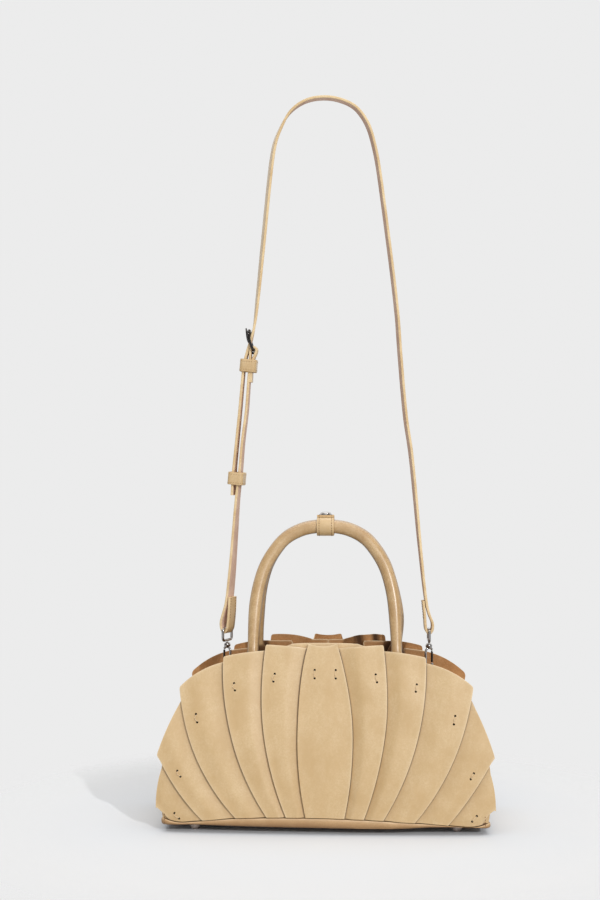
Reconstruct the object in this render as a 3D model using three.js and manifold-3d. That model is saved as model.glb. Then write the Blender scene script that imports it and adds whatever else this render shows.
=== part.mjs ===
// Pleated dome satchel: a hollow leather bag with fans of overlapping strips on its front and back,
// two rolled handles gathered by a wrap, and a buckled shoulder strap on snap hooks.
// Millimetres, +Z up, front towards -Y, origin on the ground below the middle of the bag.
import * as THREE from "three";
import { mergeVertices } from "three/addons/utils/BufferGeometryUtils.js";
import Module from "manifold-3d";

const wasm = await Module();
wasm.setup();

// Driving dimensions of the bag body.
const fanHalfWidth = 150;
const fanHeight = 166;
const halfDepthTop = 42;
const halfDepthBase = 60;
const depthCurve = 1.8;
const sideTaper = 6;
const leather = 2;
const touchGap = 0.3;

// Base, feet, walls and gussets.
const baseInset = 6.2;
const baseUnderside = 4;
const baseThickness = 6;
const baseCornerRadius = 22;
const footRadius = 4.5;
const footFlatRadius = 1.6;
const footInsetX = 27.8;
const footInsetY = 18;
const wallInset = 3;
const frontWallRise = 154.7;
const backWallRise = 148.2;
const domeExponent = 2.85;
const wallEndShare = 0.995;
const wallFlare = 0.022;
const wallFlareHeight = 35;
const gussetInset = 5;
const gussetReach = 107;
const gussetDent = 5;

// Handles and the wrap that gathers them.
const handleHalfSpan = 64;
const handleShift = -1;
const handleFootZ = 157;
const handleRise = 110.3;
const handleDiameter = 12;
const handleSpacing = 1;
const handleTabDepth = 27;
const handleTabThickness = 5;
const handleTabWidth = 17;
const handleTabGap = 0.6;
const wrapWidth = 15.5;
const wrapLeather = 1.8;
const wrapClearance = 0.6;
const snapRadius = 5.4;
const snapHeight = 2.6;

// Shoulder strap and its buckle, keepers, rings, hooks and tabs.
const strapSpread = 94;
const strapHeight = 660;
const strapWidth = 13;
const strapLeather = 2.3;
const foldWidth = 9;
const foldHeight = 26;
const leftRingX = -91.2;
const rightRingX = 93;
const leftRingTwist = -30;
const rightRingTwist = 2;
const foldBottomZ = 170.5;
const foldSlack = 0.35;
const strapHoleRadius = 1.9;
const strapHolePitch = 26;
const prongSlotHeight = 13.5;
const prongSlotDepth = 12;
const foldSlotHeight = 13;
const buckleBarAcross = -0.7106;
const buckleBarUp = 0.4995;
const buckleHeight = 18.4;
const buckleLean = 12;
const buckleHalfWidth = 9.6;
const buckleWire = 2.5;
const buckleBow = 1.4;
const prongWire = 2;
const prongSlack = 0.85;
const keeperLeather = 1.8;
const keeperHeight = 11.5;
const keeperSlack = 0.8;
const lowerKeeperUp = 0.247;
const ringWire = 2.5;
const ringHeight = 10.4;
const ringHalfWidth = 8.4;
const hookWire = 2.2;
const hookHalfWidth = 3.5;
const hookHeight = 19.6;
const hookTurn = 35;
const ballRadius = 3;
const gateWire = 2;
const dRingWire = 2.2;
const dRingHalfWidth = 8;
const tabLeather = 1.5;
const tabWidth = 12;
const tabLength = 16;

const wallFootZ = baseUnderside + baseThickness + touchGap;
const baseHalfWidth = fanHalfWidth - baseInset;
const wallHalfWidth = fanHalfWidth - wallInset;
const footX = baseHalfWidth - footInsetX;
const footY = halfDepthBase - footInsetY;

const tan = new THREE.MeshStandardMaterial({ color: 0xd6b885, roughness: 0.45, metalness: 0 });
const fleshSide = new THREE.MeshStandardMaterial({ color: 0xaa784b, roughness: 0.8, metalness: 0 });
const silver = new THREE.MeshStandardMaterial({ color: 0xc9c9cc, roughness: 0.2, metalness: 1 });
const darkMetal = new THREE.MeshStandardMaterial({ color: 0x4a4744, roughness: 0.25, metalness: 1 });

const bag = new THREE.Group();

function addPiece(name, geometry, material) {
  const mesh = new THREE.Mesh(geometry, material);
  mesh.name = name;
  bag.add(mesh);
  return mesh;
}

// General solids: closed meshes from points and faces, sheets with a wall, and lofts along rings.

function signedVolume(points, faces) {
  const sum = faces.map(([a, b, c]) => {
    const cross = new THREE.Vector3().crossVectors(points[b], points[c]);
    return points[a].dot(cross) / 6;
  });
  return sum.reduce((total, value) => total + value, 0);
}

function closedMesh(points, faces) {
  const outward = signedVolume(points, faces) > 0;
  const index = faces.flatMap(([a, b, c]) => (outward ? [a, b, c] : [a, c, b]));
  const geometry = new THREE.BufferGeometry().setFromPoints(points);
  geometry.setIndex(index);
  geometry.computeVertexNormals();
  return geometry;
}

// A sheet with a wall: place(i, j, outer) gives the point of row i and column j on either face.
function thickSheet(rows, columns, place) {
  const points = [];
  const faces = [];
  const across = columns + 1;
  const layer = (rows + 1) * across;
  const at = (i, j, side) => side * layer + i * across + j;
  for (const outer of [true, false]) {
    for (let i = 0; i <= rows; i++) {
      for (let j = 0; j <= columns; j++) points.push(place(i, j, outer));
    }
  }
  const quad = (a, b, c, d) => faces.push([a, b, c], [a, c, d]);
  for (let i = 0; i < rows; i++) {
    for (let j = 0; j < columns; j++) {
      quad(at(i, j, 0), at(i, j + 1, 0), at(i + 1, j + 1, 0), at(i + 1, j, 0));
      quad(at(i, j, 1), at(i + 1, j, 1), at(i + 1, j + 1, 1), at(i, j + 1, 1));
    }
  }
  for (let j = 0; j < columns; j++) {
    quad(at(0, j, 0), at(0, j, 1), at(0, j + 1, 1), at(0, j + 1, 0));
    quad(at(rows, j, 0), at(rows, j + 1, 0), at(rows, j + 1, 1), at(rows, j, 1));
  }
  for (let i = 0; i < rows; i++) {
    quad(at(i, 0, 0), at(i + 1, 0, 0), at(i + 1, 0, 1), at(i, 0, 1));
    quad(at(i, columns, 0), at(i, columns, 1), at(i + 1, columns, 1), at(i + 1, columns, 0));
  }
  return closedMesh(points, faces);
}

// A loft through rings of equally many points, closed on itself or capped with fans.
function loft(rings, loops = false) {
  const sides = rings[0].length;
  const points = rings.flat();
  const faces = [];
  const spans = loops ? rings.length : rings.length - 1;
  for (let i = 0; i < spans; i++) {
    const near = i * sides;
    const far = ((i + 1) % rings.length) * sides;
    for (let j = 0; j < sides; j++) {
      const next = (j + 1) % sides;
      faces.push([near + j, near + next, far + next], [near + j, far + next, far + j]);
    }
  }
  if (!loops) {
    const last = (rings.length - 1) * sides;
    for (let j = 1; j < sides - 1; j++) {
      faces.push([0, j + 1, j], [last, last + j, last + j + 1]);
    }
  }
  return closedMesh(points, faces);
}

function tangentAt(path, i, loops) {
  const count = path.length;
  const before = loops ? path[(i + count - 1) % count] : path[Math.max(i - 1, 0)];
  const after = loops ? path[(i + 1) % count] : path[Math.min(i + 1, count - 1)];
  return after.clone().sub(before).normalize();
}

// A wire or tube along a path whose sections stay square to it; level is a direction off the path.
function tube(path, radius, sides, level, loops = false) {
  const rings = path.map((centre, i) => {
    const along = tangentAt(path, i, loops);
    const first = level.clone().addScaledVector(along, -level.dot(along)).normalize();
    const second = new THREE.Vector3().crossVectors(along, first);
    const reach = typeof radius === "function" ? radius(i / (path.length - 1)) : radius;
    return Array.from({ length: sides }, (_, j) => {
      const angle = (2 * Math.PI * (j + 0.5)) / sides;
      return centre
        .clone()
        .addScaledVector(first, reach * Math.cos(angle))
        .addScaledVector(second, reach * Math.sin(angle));
    });
  });
  return loft(rings, loops);
}

// A flat band along a path; widthAt(i) gives the direction across the band.
function band(path, width, thickness, widthAt) {
  const rings = path.map((centre, i) => {
    const along = tangentAt(path, i, false);
    const across = widthAt(i);
    across.addScaledVector(along, -across.dot(along)).normalize();
    const normal = new THREE.Vector3().crossVectors(along, across);
    return [
      [0.5, 0.5],
      [-0.5, 0.5],
      [-0.5, -0.5],
      [0.5, -0.5],
    ].map(([w, t]) =>
      centre
        .clone()
        .addScaledVector(across, w * width)
        .addScaledVector(normal, t * thickness),
    );
  });
  return loft(rings);
}

function smoothPath(points, steps) {
  const curve = new THREE.CatmullRomCurve3(points, false, "centripetal");
  return curve.getPoints((points.length - 1) * steps);
}

function toSolid(geometry) {
  const plain = new THREE.BufferGeometry();
  plain.setAttribute("position", geometry.getAttribute("position").clone());
  if (geometry.index) plain.setIndex(geometry.index.clone());
  const merged = mergeVertices(plain, 1e-4);
  const mesh = new wasm.Mesh({
    numProp: 3,
    vertProperties: new Float32Array(merged.getAttribute("position").array),
    triVerts: new Uint32Array(merged.index.array),
  });
  return new wasm.Manifold(mesh);
}

function fromSolid(solid) {
  const mesh = solid.getMesh();
  const geometry = new THREE.BufferGeometry();
  geometry.setAttribute("position", new THREE.BufferAttribute(new Float32Array(mesh.vertProperties), 3));
  geometry.setIndex(new THREE.BufferAttribute(new Uint32Array(mesh.triVerts), 1));
  geometry.computeVertexNormals();
  return geometry;
}

function cutAway(geometry, cutters) {
  const cut = cutters.reduce((solid, cutter) => solid.subtract(toSolid(cutter)), toSolid(geometry));
  return fromSolid(cut);
}

// The bag's depth: half the distance between the outer faces of the front and back walls.
function halfDepth(x, z) {
  const rise = Math.pow(Math.max(z, 0) / fanHeight, depthCurve);
  const bulge = (halfDepthBase - halfDepthTop) * (1 - rise);
  return halfDepthTop + bulge - sideTaper * (x / fanHalfWidth) ** 2;
}

// Height of the dome outline above the base at a place across the bag.
function domeHeight(x, halfWidth, rise) {
  const share = Math.min(Math.abs(x) / halfWidth, 1);
  return rise * Math.pow(1 - Math.pow(share, domeExponent), 1 / domeExponent);
}

// Base: a stiff slab with the plan of the bag and rounded corners, on four metal studs.
function basePanel() {
  const cornerX = baseHalfWidth - baseCornerRadius;
  const edge = (x) => halfDepth(x, wallFootZ);
  const quarter = [];
  const stepsAcross = 6;
  for (let i = 0; i <= stepsAcross; i++) {
    const x = (cornerX * i) / stepsAcross;
    quarter.push([x, edge(x)]);
  }
  const cornerSteps = 5;
  const cornerEdge = edge(cornerX);
  for (let i = 1; i <= cornerSteps; i++) {
    const turn = (Math.PI / 2) * (i / cornerSteps);
    const x = cornerX + baseCornerRadius * Math.sin(turn);
    quarter.push([x, cornerEdge - baseCornerRadius * (1 - Math.cos(turn))]);
  }
  const rightFront = quarter.map(([x, y]) => new THREE.Vector2(x, -y));
  const rightBack = quarter.map(([x, y]) => new THREE.Vector2(x, y)).reverse();
  const leftBack = quarter.slice(1).map(([x, y]) => new THREE.Vector2(-x, y));
  const leftFront = quarter
    .slice(1)
    .map(([x, y]) => new THREE.Vector2(-x, -y))
    .reverse();
  const plan = new THREE.Shape([...rightFront, ...rightBack, ...leftBack, ...leftFront]);
  return new THREE.ExtrudeGeometry(plan, { depth: baseThickness, bevelEnabled: false, steps: 1 });
}

addPiece("base_panel", basePanel(), tan).position.z = baseUnderside;

// A stud's profile: a small flat to stand on, then a ball's side up to the base.
function footStud() {
  const top = baseUnderside - touchGap;
  const centreZ = Math.sqrt(footRadius ** 2 - footFlatRadius ** 2);
  const from = Math.asin(footFlatRadius / footRadius);
  const to = Math.acos((centreZ - top) / footRadius);
  const steps = 4;
  const profile = [new THREE.Vector2(0, 0)];
  for (let i = 0; i <= steps; i++) {
    const turn = THREE.MathUtils.lerp(from, to, i / steps);
    profile.push(new THREE.Vector2(footRadius * Math.sin(turn), centreZ - footRadius * Math.cos(turn)));
  }
  profile.push(new THREE.Vector2(0, top));
  const lathe = new THREE.LatheGeometry(profile, 12);
  lathe.rotateX(Math.PI / 2);
  return lathe;
}

for (const [depthName, y] of [
  ["front", -footY],
  ["back", footY],
]) {
  for (const [sideName, x] of [
    ["left", -footX],
    ["right", footX],
  ]) {
    addPiece(`foot_${depthName}_${sideName}`, footStud(), silver).position.set(x, y, 0);
  }
}

// Front and back walls: single curved sheets with the dome outline, standing on the base.
function domeWall(side, rise) {
  const rows = 6;
  const columns = 16;
  return thickSheet(rows, columns, (i, j, outer) => {
    const spread = Math.sin((Math.PI / 2) * ((2 * j) / columns - 1));
    const flatX = wallHalfWidth * wallEndShare * spread;
    const z = wallFootZ + domeHeight(flatX, wallHalfWidth, rise) * (i / rows);
    const near = Math.max(0, 1 - (z - wallFootZ) / wallFlareHeight);
    const x = flatX * (1 - wallFlare * near ** 2);
    const depth = halfDepth(x, z) - (outer ? 0 : leather);
    return new THREE.Vector3(x, side * depth, z);
  });
}

addPiece("front_wall", domeWall(-1, frontWallRise), fleshSide);
addPiece("back_wall", domeWall(1, backWallRise), fleshSide);

// Gussets: side strips between the walls, which follow the dome and fold in slightly down the middle.
const gussetHalfWidth = wallHalfWidth - gussetInset;
const gussetRise = backWallRise - gussetInset;
const gussetEndTurn = Math.acos(Math.pow(gussetReach / gussetHalfWidth, domeExponent / 2));

function gussetPoint(share) {
  const turn = gussetEndTurn * share;
  const x = gussetHalfWidth * Math.pow(Math.cos(turn), 2 / domeExponent);
  const z = wallFootZ + gussetRise * Math.pow(Math.sin(turn), 2 / domeExponent);
  return new THREE.Vector2(x, z);
}

function gussetTangent(share) {
  const step = 0.01;
  const ahead = gussetPoint(Math.min(share + step, 1));
  return ahead.sub(gussetPoint(Math.max(share - step, 0.0))).normalize();
}

// Middle of the gusset's leather at a share of its length, off sideways by an offset along its normal.
function gussetSkin(share, across, offset) {
  const point = gussetPoint(share);
  const tangent = gussetTangent(share);
  const dent = gussetDent * share * Math.cos((Math.PI / 2) * across);
  const inward = dent - offset;
  return new THREE.Vector2(point.x - tangent.y * inward, point.y + tangent.x * inward);
}

function gusset(side) {
  const rows = 14;
  const columns = 4;
  return thickSheet(rows, columns, (i, j, outer) => {
    const share = Math.pow(i / rows, 1.35);
    const across = (2 * j) / columns - 1;
    const skin = gussetSkin(share, across, outer ? leather / 2 : -leather / 2);
    const z = i === 0 ? wallFootZ : skin.y;
    const reach = halfDepth(skin.x, skin.y) - leather - touchGap;
    return new THREE.Vector3(side * skin.x, across * reach, z);
  });
}

addPiece("gusset_left", gusset(-1), fleshSide);
addPiece("gusset_right", gusset(1), fleshSide);

// Pleats: leather strips that fan out from the base. Each strip's outer edge is a bowed line, and its
// inner edge is tucked below its neighbour towards the middle. Lengths are shares of the fan's half
// width and height; lap is where the next strip's tuck begins, as a share of the strip's own width.
const pleatRows = [
  { name: "centre", foot: 0.113, cornerX: 0.086, cornerZ: 0.999, bow: 0.065, crown: -0.008 },
  {
    name: "inner", foot: 0.227, cornerX: 0.359, cornerZ: 0.991, bow: 0.073, crown: 0.003,
    crossZ: 0.972, tuckFoot: 0.06, tuckX: 0.09, tuckZ: -0.004, lap: 0.42,
  },
  {
    name: "middle", foot: 0.34, cornerX: 0.592, cornerZ: 0.926, bow: 0.086, crown: 0.006,
    crossZ: 0.957, tuckFoot: 0.06, tuckX: 0.142, tuckZ: -0.006, lap: 0.42,
  },
  {
    name: "outer", foot: 0.523, cornerX: 0.861, cornerZ: 0.765, bow: 0.077, crown: 0.02,
    crossZ: 0.895, tuckFoot: 0.06, tuckX: 0.12, tuckZ: 0.014, lap: 0.6,
  },
  {
    name: "side", foot: 0.717, cornerX: 0.989, cornerZ: 0.414, bow: 0.028, crown: 0.008,
    crossZ: 0.693, tuckFoot: 0.06, tuckX: 0.098, tuckZ: 0.03, lap: 0.64,
  },
  {
    name: "corner", foot: 0.917, cornerX: 0.996, cornerZ: 0.136, bow: 0.004, crown: 0.01,
    crossZ: 0.355, tuckFoot: 0.06, tuckX: 0.072, tuckZ: 0.032, lap: 0.6,
  },
];
const hemCentre = 12.3;
const hemDrop = 6.1;
const hemCornerX = 130;
const hemCornerRise = 52;
const pleatStep = leather + touchGap;

// Height of the strips' lower ends above the ground.
function hem(x) {
  const share = Math.abs(x) / hemCornerX;
  return hemCentre - hemDrop * share ** 2 + hemCornerRise * Math.max(0, share - 1);
}

// A point on a strip's outer edge, from its foot to its corner, for a share of its length.
function seam(row, share) {
  const foot = new THREE.Vector2(row.foot * fanHalfWidth, 0);
  foot.y = hem(foot.x);
  const corner = new THREE.Vector2(row.cornerX * fanHalfWidth, row.cornerZ * fanHeight);
  const chord = corner.clone().sub(foot);
  const bulge = new THREE.Vector2(chord.y, -chord.x).normalize().multiplyScalar(row.bow * fanHalfWidth);
  const point = foot.lerp(corner, share);
  return point.addScaledVector(bulge, 4 * share * (1 - share));
}

function shareAtHeight(row, z) {
  let low = 0;
  let high = 1;
  for (let i = 0; i < 30; i++) {
    const middle = (low + high) / 2;
    if (seam(row, middle).y < z) low = middle;
    else high = middle;
  }
  return low;
}

// The strip between two edge lines, as a patch with a bowed top; s runs across it and v runs up it.
function patchPoint(left, right, crown, s, v) {
  const top = left(1).lerp(right(1), s);
  const slope = right(1).sub(left(1));
  const lift = new THREE.Vector2(-slope.y, slope.x).normalize().multiplyScalar(crown * fanHeight);
  top.addScaledVector(lift, 4 * s * (1 - s));
  const bottom = left(0).lerp(right(0), s);
  bottom.y = hem(bottom.x);
  const sides = left(v).lerp(right(v), s);
  const ends = bottom.clone().lerp(top, v);
  const cornersLow = left(0).lerp(right(0), s);
  const cornersHigh = left(1).lerp(right(1), s);
  return sides.add(ends).sub(cornersLow.lerp(cornersHigh, v));
}

function pleatSheet(side, mirror, columns) {
  const rows = 9;
  return thickSheet(rows, columns.length - 1, (i, j, outer) => {
    const v = i / rows;
    const column = columns[j];
    const point = column.place(v);
    const x = mirror * point.x;
    const depth = halfDepth(point.x, point.y) + touchGap + column.lift * pleatStep;
    return new THREE.Vector3(x, side * (depth + (outer ? leather : 0)), point.y);
  });
}

function centrePleat(side) {
  const row = pleatRows[0];
  const right = (v) => seam(row, v);
  const left = (v) => seam(row, v).multiply(new THREE.Vector2(-1, 1));
  const columns = [0, 0.25, 0.5, 0.75, 1].map((s) => ({
    place: (v) => patchPoint(left, right, row.crown, s, v),
    lift: 1,
  }));
  return pleatSheet(side, 1, columns);
}

function tuckedPleat(index, side, mirror) {
  const row = pleatRows[index];
  const inner = pleatRows[index - 1];
  const isLast = index === pleatRows.length - 1;
  const crossShare = shareAtHeight(inner, row.crossZ * fanHeight);
  const left = (v) => seam(inner, v * crossShare);
  const right = (v) => seam(row, v);
  const tucked = (v) => {
    const across = THREE.MathUtils.lerp(row.tuckFoot, row.tuckX, v) * fanHalfWidth;
    const up = row.tuckZ * v * fanHeight;
    const edge = left(v).add(new THREE.Vector2(-across, up));
    if (v === 0) edge.y = hem(edge.x);
    return edge;
  };
  const inside = (s) => (v) => patchPoint(left, right, row.crown, s, v);
  const full = isLast ? 0 : 1;
  const columns = [
    { place: tucked, lift: 0 },
    { place: inside(0), lift: 0 },
    { place: inside(row.lap / 2), lift: full / 2 },
    { place: inside(row.lap), lift: full },
    { place: inside(1), lift: full },
  ];
  return pleatSheet(side, mirror, columns);
}

for (const [faceName, side] of [
  ["front", -1],
  ["back", 1],
]) {
  addPiece(`${faceName}_pleat_centre`, centrePleat(side), tan);
  for (let index = 1; index < pleatRows.length; index++) {
    for (const [sideName, mirror] of [
      ["left", -1],
      ["right", 1],
    ]) {
      const name = `${faceName}_pleat_${pleatRows[index].name}_${sideName}`;
      addPiece(name, tuckedPleat(index, side, mirror), tan);
    }
  }
}

// Handles: rolled tubes whose ends flatten into tabs against the inner faces of the walls.
// across is a share of the half span and up a share of the rise above the handle's foot.
const handleRows = [
  { across: 1, up: 0 },
  { across: 0.99, up: 0.2 },
  { across: 0.965, up: 0.4 },
  { across: 0.915, up: 0.55 },
  { across: 0.84, up: 0.68 },
  { across: 0.72, up: 0.8 },
  { across: 0.56, up: 0.905 },
  { across: 0.33, up: 0.975 },
  { across: 0.1, up: 1 },
];
const handleRadius = handleDiameter / 2;
const handleApexY = handleRadius + handleSpacing / 2;
const handleApexZ = handleFootZ + handleRise;

function handleTabY(x, z) {
  return halfDepth(x, z) - leather - handleTabGap - handleTabThickness / 2;
}

function handleLegPoint(row, mirror) {
  const x = mirror * row.across * handleHalfSpan + handleShift;
  const footY = halfDepth(x, handleFootZ) - leather - touchGap - handleRadius;
  const y = THREE.MathUtils.lerp(footY, handleApexY, Math.min(1, row.up));
  return new THREE.Vector3(x, y, handleFootZ + row.up * handleRise);
}

function handle(side) {
  const tabs = (mirror) => {
    const x = mirror * handleHalfSpan + handleShift;
    return [1, 0.5].map((share) => {
      const z = handleFootZ - share * handleTabDepth;
      return new THREE.Vector3(x, handleTabY(x, z), z);
    });
  };
  const left = [...tabs(-1), ...handleRows.map((row) => handleLegPoint(row, -1))];
  const right = [...tabs(1), ...handleRows.map((row) => handleLegPoint(row, 1))].reverse();
  const steps = 2;
  const path = smoothPath([...left, ...right], steps);
  const sides = 8;
  const flatTop = handleFootZ - 0.35 * handleTabDepth;
  const rings = path.map((centre, i) => {
    const along = tangentAt(path, i, false);
    const out = new THREE.Vector3(0, 1, 0);
    out.addScaledVector(along, -out.dot(along)).normalize();
    const across = new THREE.Vector3().crossVectors(along, out);
    const flat = THREE.MathUtils.clamp((handleFootZ - centre.z) / (handleFootZ - flatTop), 0, 1);
    const halfThick = THREE.MathUtils.lerp(handleRadius, handleTabThickness / 2, flat);
    const halfBroad = THREE.MathUtils.lerp(handleRadius, handleTabWidth / 2, flat);
    return Array.from({ length: sides }, (_, j) => {
      const angle = (2 * Math.PI * j) / sides;
      return centre
        .clone()
        .addScaledVector(out, halfThick * Math.cos(angle))
        .addScaledVector(across, halfBroad * Math.sin(angle));
    });
  });
  for (const ring of rings) for (const point of ring) point.y *= side;
  return loft(rings);
}

addPiece("front_handle", handle(-1), tan);
addPiece("back_handle", handle(1), tan);

// Handle wrap: a strip taken once round both handles, lapped on top and closed by a snap.
function wrapPath() {
  const reach = handleRadius + wrapClearance + wrapLeather / 2;
  const lapRise = wrapLeather + touchGap;
  const flatHalf = handleApexY;
  const points = [];
  const place = (y, z) => points.push(new THREE.Vector3(handleShift, y, handleApexZ + z));
  const turn = (centre, from, to, steps, radius) => {
    for (let i = 0; i <= steps; i++) {
      const angle = THREE.MathUtils.lerp(from, to, i / steps);
      place(centre + radius * Math.cos(angle), radius * Math.sin(angle));
    }
  };
  place(0.5 * flatHalf, reach);
  turn(-flatHalf, Math.PI / 2, (3 * Math.PI) / 2, 8, reach);
  turn(flatHalf, -Math.PI / 2, Math.PI * 0.3, 7, reach);
  place(flatHalf + 0.5 * reach, reach * 0.98);
  place(flatHalf + 0.2 * reach, reach + 0.9 * lapRise);
  place(0.3 * flatHalf, reach + lapRise);
  place(-0.9 * flatHalf, reach + lapRise);
  return points;
}

addPiece(
  "handle_wrap",
  band(wrapPath(), wrapWidth, wrapLeather, () => new THREE.Vector3(1, 0, 0)),
  tan,
);

function snapCap() {
  const profile = [
    new THREE.Vector2(0, 0),
    new THREE.Vector2(snapRadius, 0),
    new THREE.Vector2(snapRadius, 0.35 * snapHeight),
    new THREE.Vector2(0.8 * snapRadius, 0.8 * snapHeight),
    new THREE.Vector2(0.4 * snapRadius, snapHeight),
    new THREE.Vector2(0, snapHeight),
  ];
  const lathe = new THREE.LatheGeometry(profile, 14);
  lathe.rotateX(Math.PI / 2);
  return lathe;
}

const wrapTopZ = handleApexZ + handleRadius + wrapClearance + 2 * wrapLeather + touchGap;
addPiece("wrap_snap", snapCap(), silver).position.set(handleShift, 0, wrapTopZ + touchGap);

// Shoulder strap. Rows run from the right ring over the top to the buckle, then down the free end:
// across is a share of the strap's half spread, up a share of its height above its folded ends, and
// twist turns the strap's face in degrees.
const archRows = [
  { across: 0.896, up: 0.1257, twist: 7 },
  { across: 0.862, up: 0.2012, twist: 9 },
  { across: 0.812, up: 0.3008, twist: 10 },
  { across: 0.765, up: 0.3649, twist: 10 },
  { across: 0.713, up: 0.4817, twist: 10 },
  { across: 0.677, up: 0.5799, twist: 10 },
  { across: 0.62, up: 0.6782, twist: 10 },
  { across: 0.556, up: 0.7764, twist: 10 },
  { across: 0.493, up: 0.8704, twist: 10 },
  { across: 0.449, up: 0.9103, twist: 10 },
  { across: 0.403, up: 0.9416, twist: 10 },
  { across: 0.325, up: 0.9672, twist: 8 },
  { across: 0.245, up: 0.9829, twist: 6 },
  { across: 0.09, up: 0.995, twist: 4 },
  { across: -0.037, up: 0.9976, twist: 2 },
  { across: -0.18, up: 0.9936, twist: 4 },
  { across: -0.295, up: 0.9815, twist: 6 },
  { across: -0.382, up: 0.9644, twist: 9 },
  { across: -0.444, up: 0.9402, twist: 12 },
  { across: -0.499, up: 0.9146, twist: 14 },
  { across: -0.534, up: 0.879, twist: 15 },
  { across: -0.579, up: 0.795, twist: 15 },
  { across: -0.628, up: 0.6939, twist: 15 },
  { across: -0.678, up: 0.5935, twist: 12 },
];
// Where the strap passes through the buckle: shares of the buckle's height, counted from its bar.
const buckleRows = [
  { across: 0.011, up: 1.13, twist: 5 },
  { across: -0.14, up: 0.485, twist: 0 },
  { across: -0.308, up: -0.071, twist: 0 },
  { across: -0.457, up: -0.699, twist: -1 },
];
const freeEndRows = [
  { across: -0.823, up: 0.4261, twist: -2 },
  { across: -0.842, up: 0.382, twist: -3 },
  { across: -0.879, up: 0.3051, twist: -5 },
  { across: -0.9, up: 0.2595, twist: -7 },
  { across: -0.912, up: 0.214, twist: -8 },
];
const shortStrapRows = [
  { across: -0.926, up: 0.0545, twist: -20 },
  { across: -0.9, up: 0.1228, twist: -15 },
  { across: -0.866, up: 0.214, twist: -9 },
  { across: -0.84, up: 0.2595, twist: -7 },
  { across: -0.815, up: 0.3194, twist: -5 },
  { across: -0.777, up: 0.382, twist: -3 },
  { across: -0.757, up: 0.439, twist: -2 },
];
// The strap's ends fold round a ring: a drop-shaped loop whose tail lies on the strap's outer side.
const foldRows = [
  { across: -0.1, up: 1 },
  { across: -0.06, up: 0.62 },
  { across: 0.33, up: 0.34 },
  { across: 0.4, up: 0.14 },
  { across: 0.02, up: 0 },
  { across: -0.38, up: 0.13 },
  { across: -0.45, up: 0.34 },
  { across: -0.35, up: 0.62 },
  { across: -0.39, up: 1 },
];

function strapStation(x, y, z, twist) {
  return { point: new THREE.Vector3(x, y, z), twist };
}

const foldTopZ = foldBottomZ + foldHeight;

function heightAt(share) {
  return THREE.MathUtils.lerp(foldTopZ, strapHeight, share);
}

const buckleBarX = buckleBarAcross * strapSpread;
const buckleBarZ = heightAt(buckleBarUp);
const buckleLeanAngle = THREE.MathUtils.degToRad(buckleLean);
const buckleTopX = buckleBarX - buckleHeight * Math.sin(buckleLeanAngle);
const buckleTopZ = buckleBarZ + buckleHeight * Math.cos(buckleLeanAngle);

function rowStation(row) {
  return strapStation(row.across * strapSpread, 0, heightAt(row.up), row.twist);
}

function buckleStation(row) {
  const x = buckleBarX + row.across * buckleHeight;
  return strapStation(x, 0, buckleBarZ + row.up * buckleHeight, row.twist);
}

function foldStation(row, ringX, twist) {
  const side = Math.sign(ringX);
  const offset = side * row.across * foldWidth;
  const angle = THREE.MathUtils.degToRad(twist);
  const x = ringX + offset * Math.cos(angle);
  return strapStation(x, offset * Math.sin(angle), foldBottomZ + row.up * foldHeight, twist);
}

function strapBand(stations, steps) {
  const path = smoothPath(
    stations.map((station) => station.point),
    steps,
  );
  const acrossAt = (i) => {
    const place = i / steps;
    const from = Math.min(Math.floor(place), stations.length - 2);
    const share = place - from;
    const twist = THREE.MathUtils.lerp(stations[from].twist, stations[from + 1].twist, share);
    const angle = THREE.MathUtils.degToRad(twist);
    return new THREE.Vector3(Math.sin(angle), -Math.cos(angle), 0);
  };
  return band(path, strapWidth, strapLeather, acrossAt);
}

function holeCutter(station, radius) {
  const cutter = new THREE.CylinderGeometry(radius, radius, 4 * strapLeather, 8);
  cutter.rotateZ(Math.PI / 2);
  cutter.translate(station.x, station.y, station.z);
  return cutter;
}

function longStrap() {
  const stations = [
    ...foldRows.map((row) => foldStation(row, rightRingX, rightRingTwist)),
    ...archRows.map(rowStation),
    ...buckleRows.map(buckleStation),
    ...freeEndRows.map(rowStation),
  ];
  const strap = strapBand(stations, 2);
  const prongSlot = new THREE.BoxGeometry(prongSlotDepth, 2 * strapHoleRadius, prongSlotHeight);
  prongSlot.translate(buckleBarX - 0.196 * buckleHeight, 0, buckleBarZ + 0.38 * buckleHeight);
  const cutters = [prongSlot];
  const free = [buckleStation(buckleRows.at(-1)), ...freeEndRows.map(rowStation)];
  const tail = new THREE.CatmullRomCurve3(free.map((station) => station.point));
  const tailLength = tail.getLength();
  for (let along = strapHolePitch; along < tailLength - strapHolePitch / 2; along += strapHolePitch) {
    cutters.push(holeCutter(tail.getPointAt(along / tailLength), strapHoleRadius));
  }
  return cutAway(strap, cutters);
}

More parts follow.
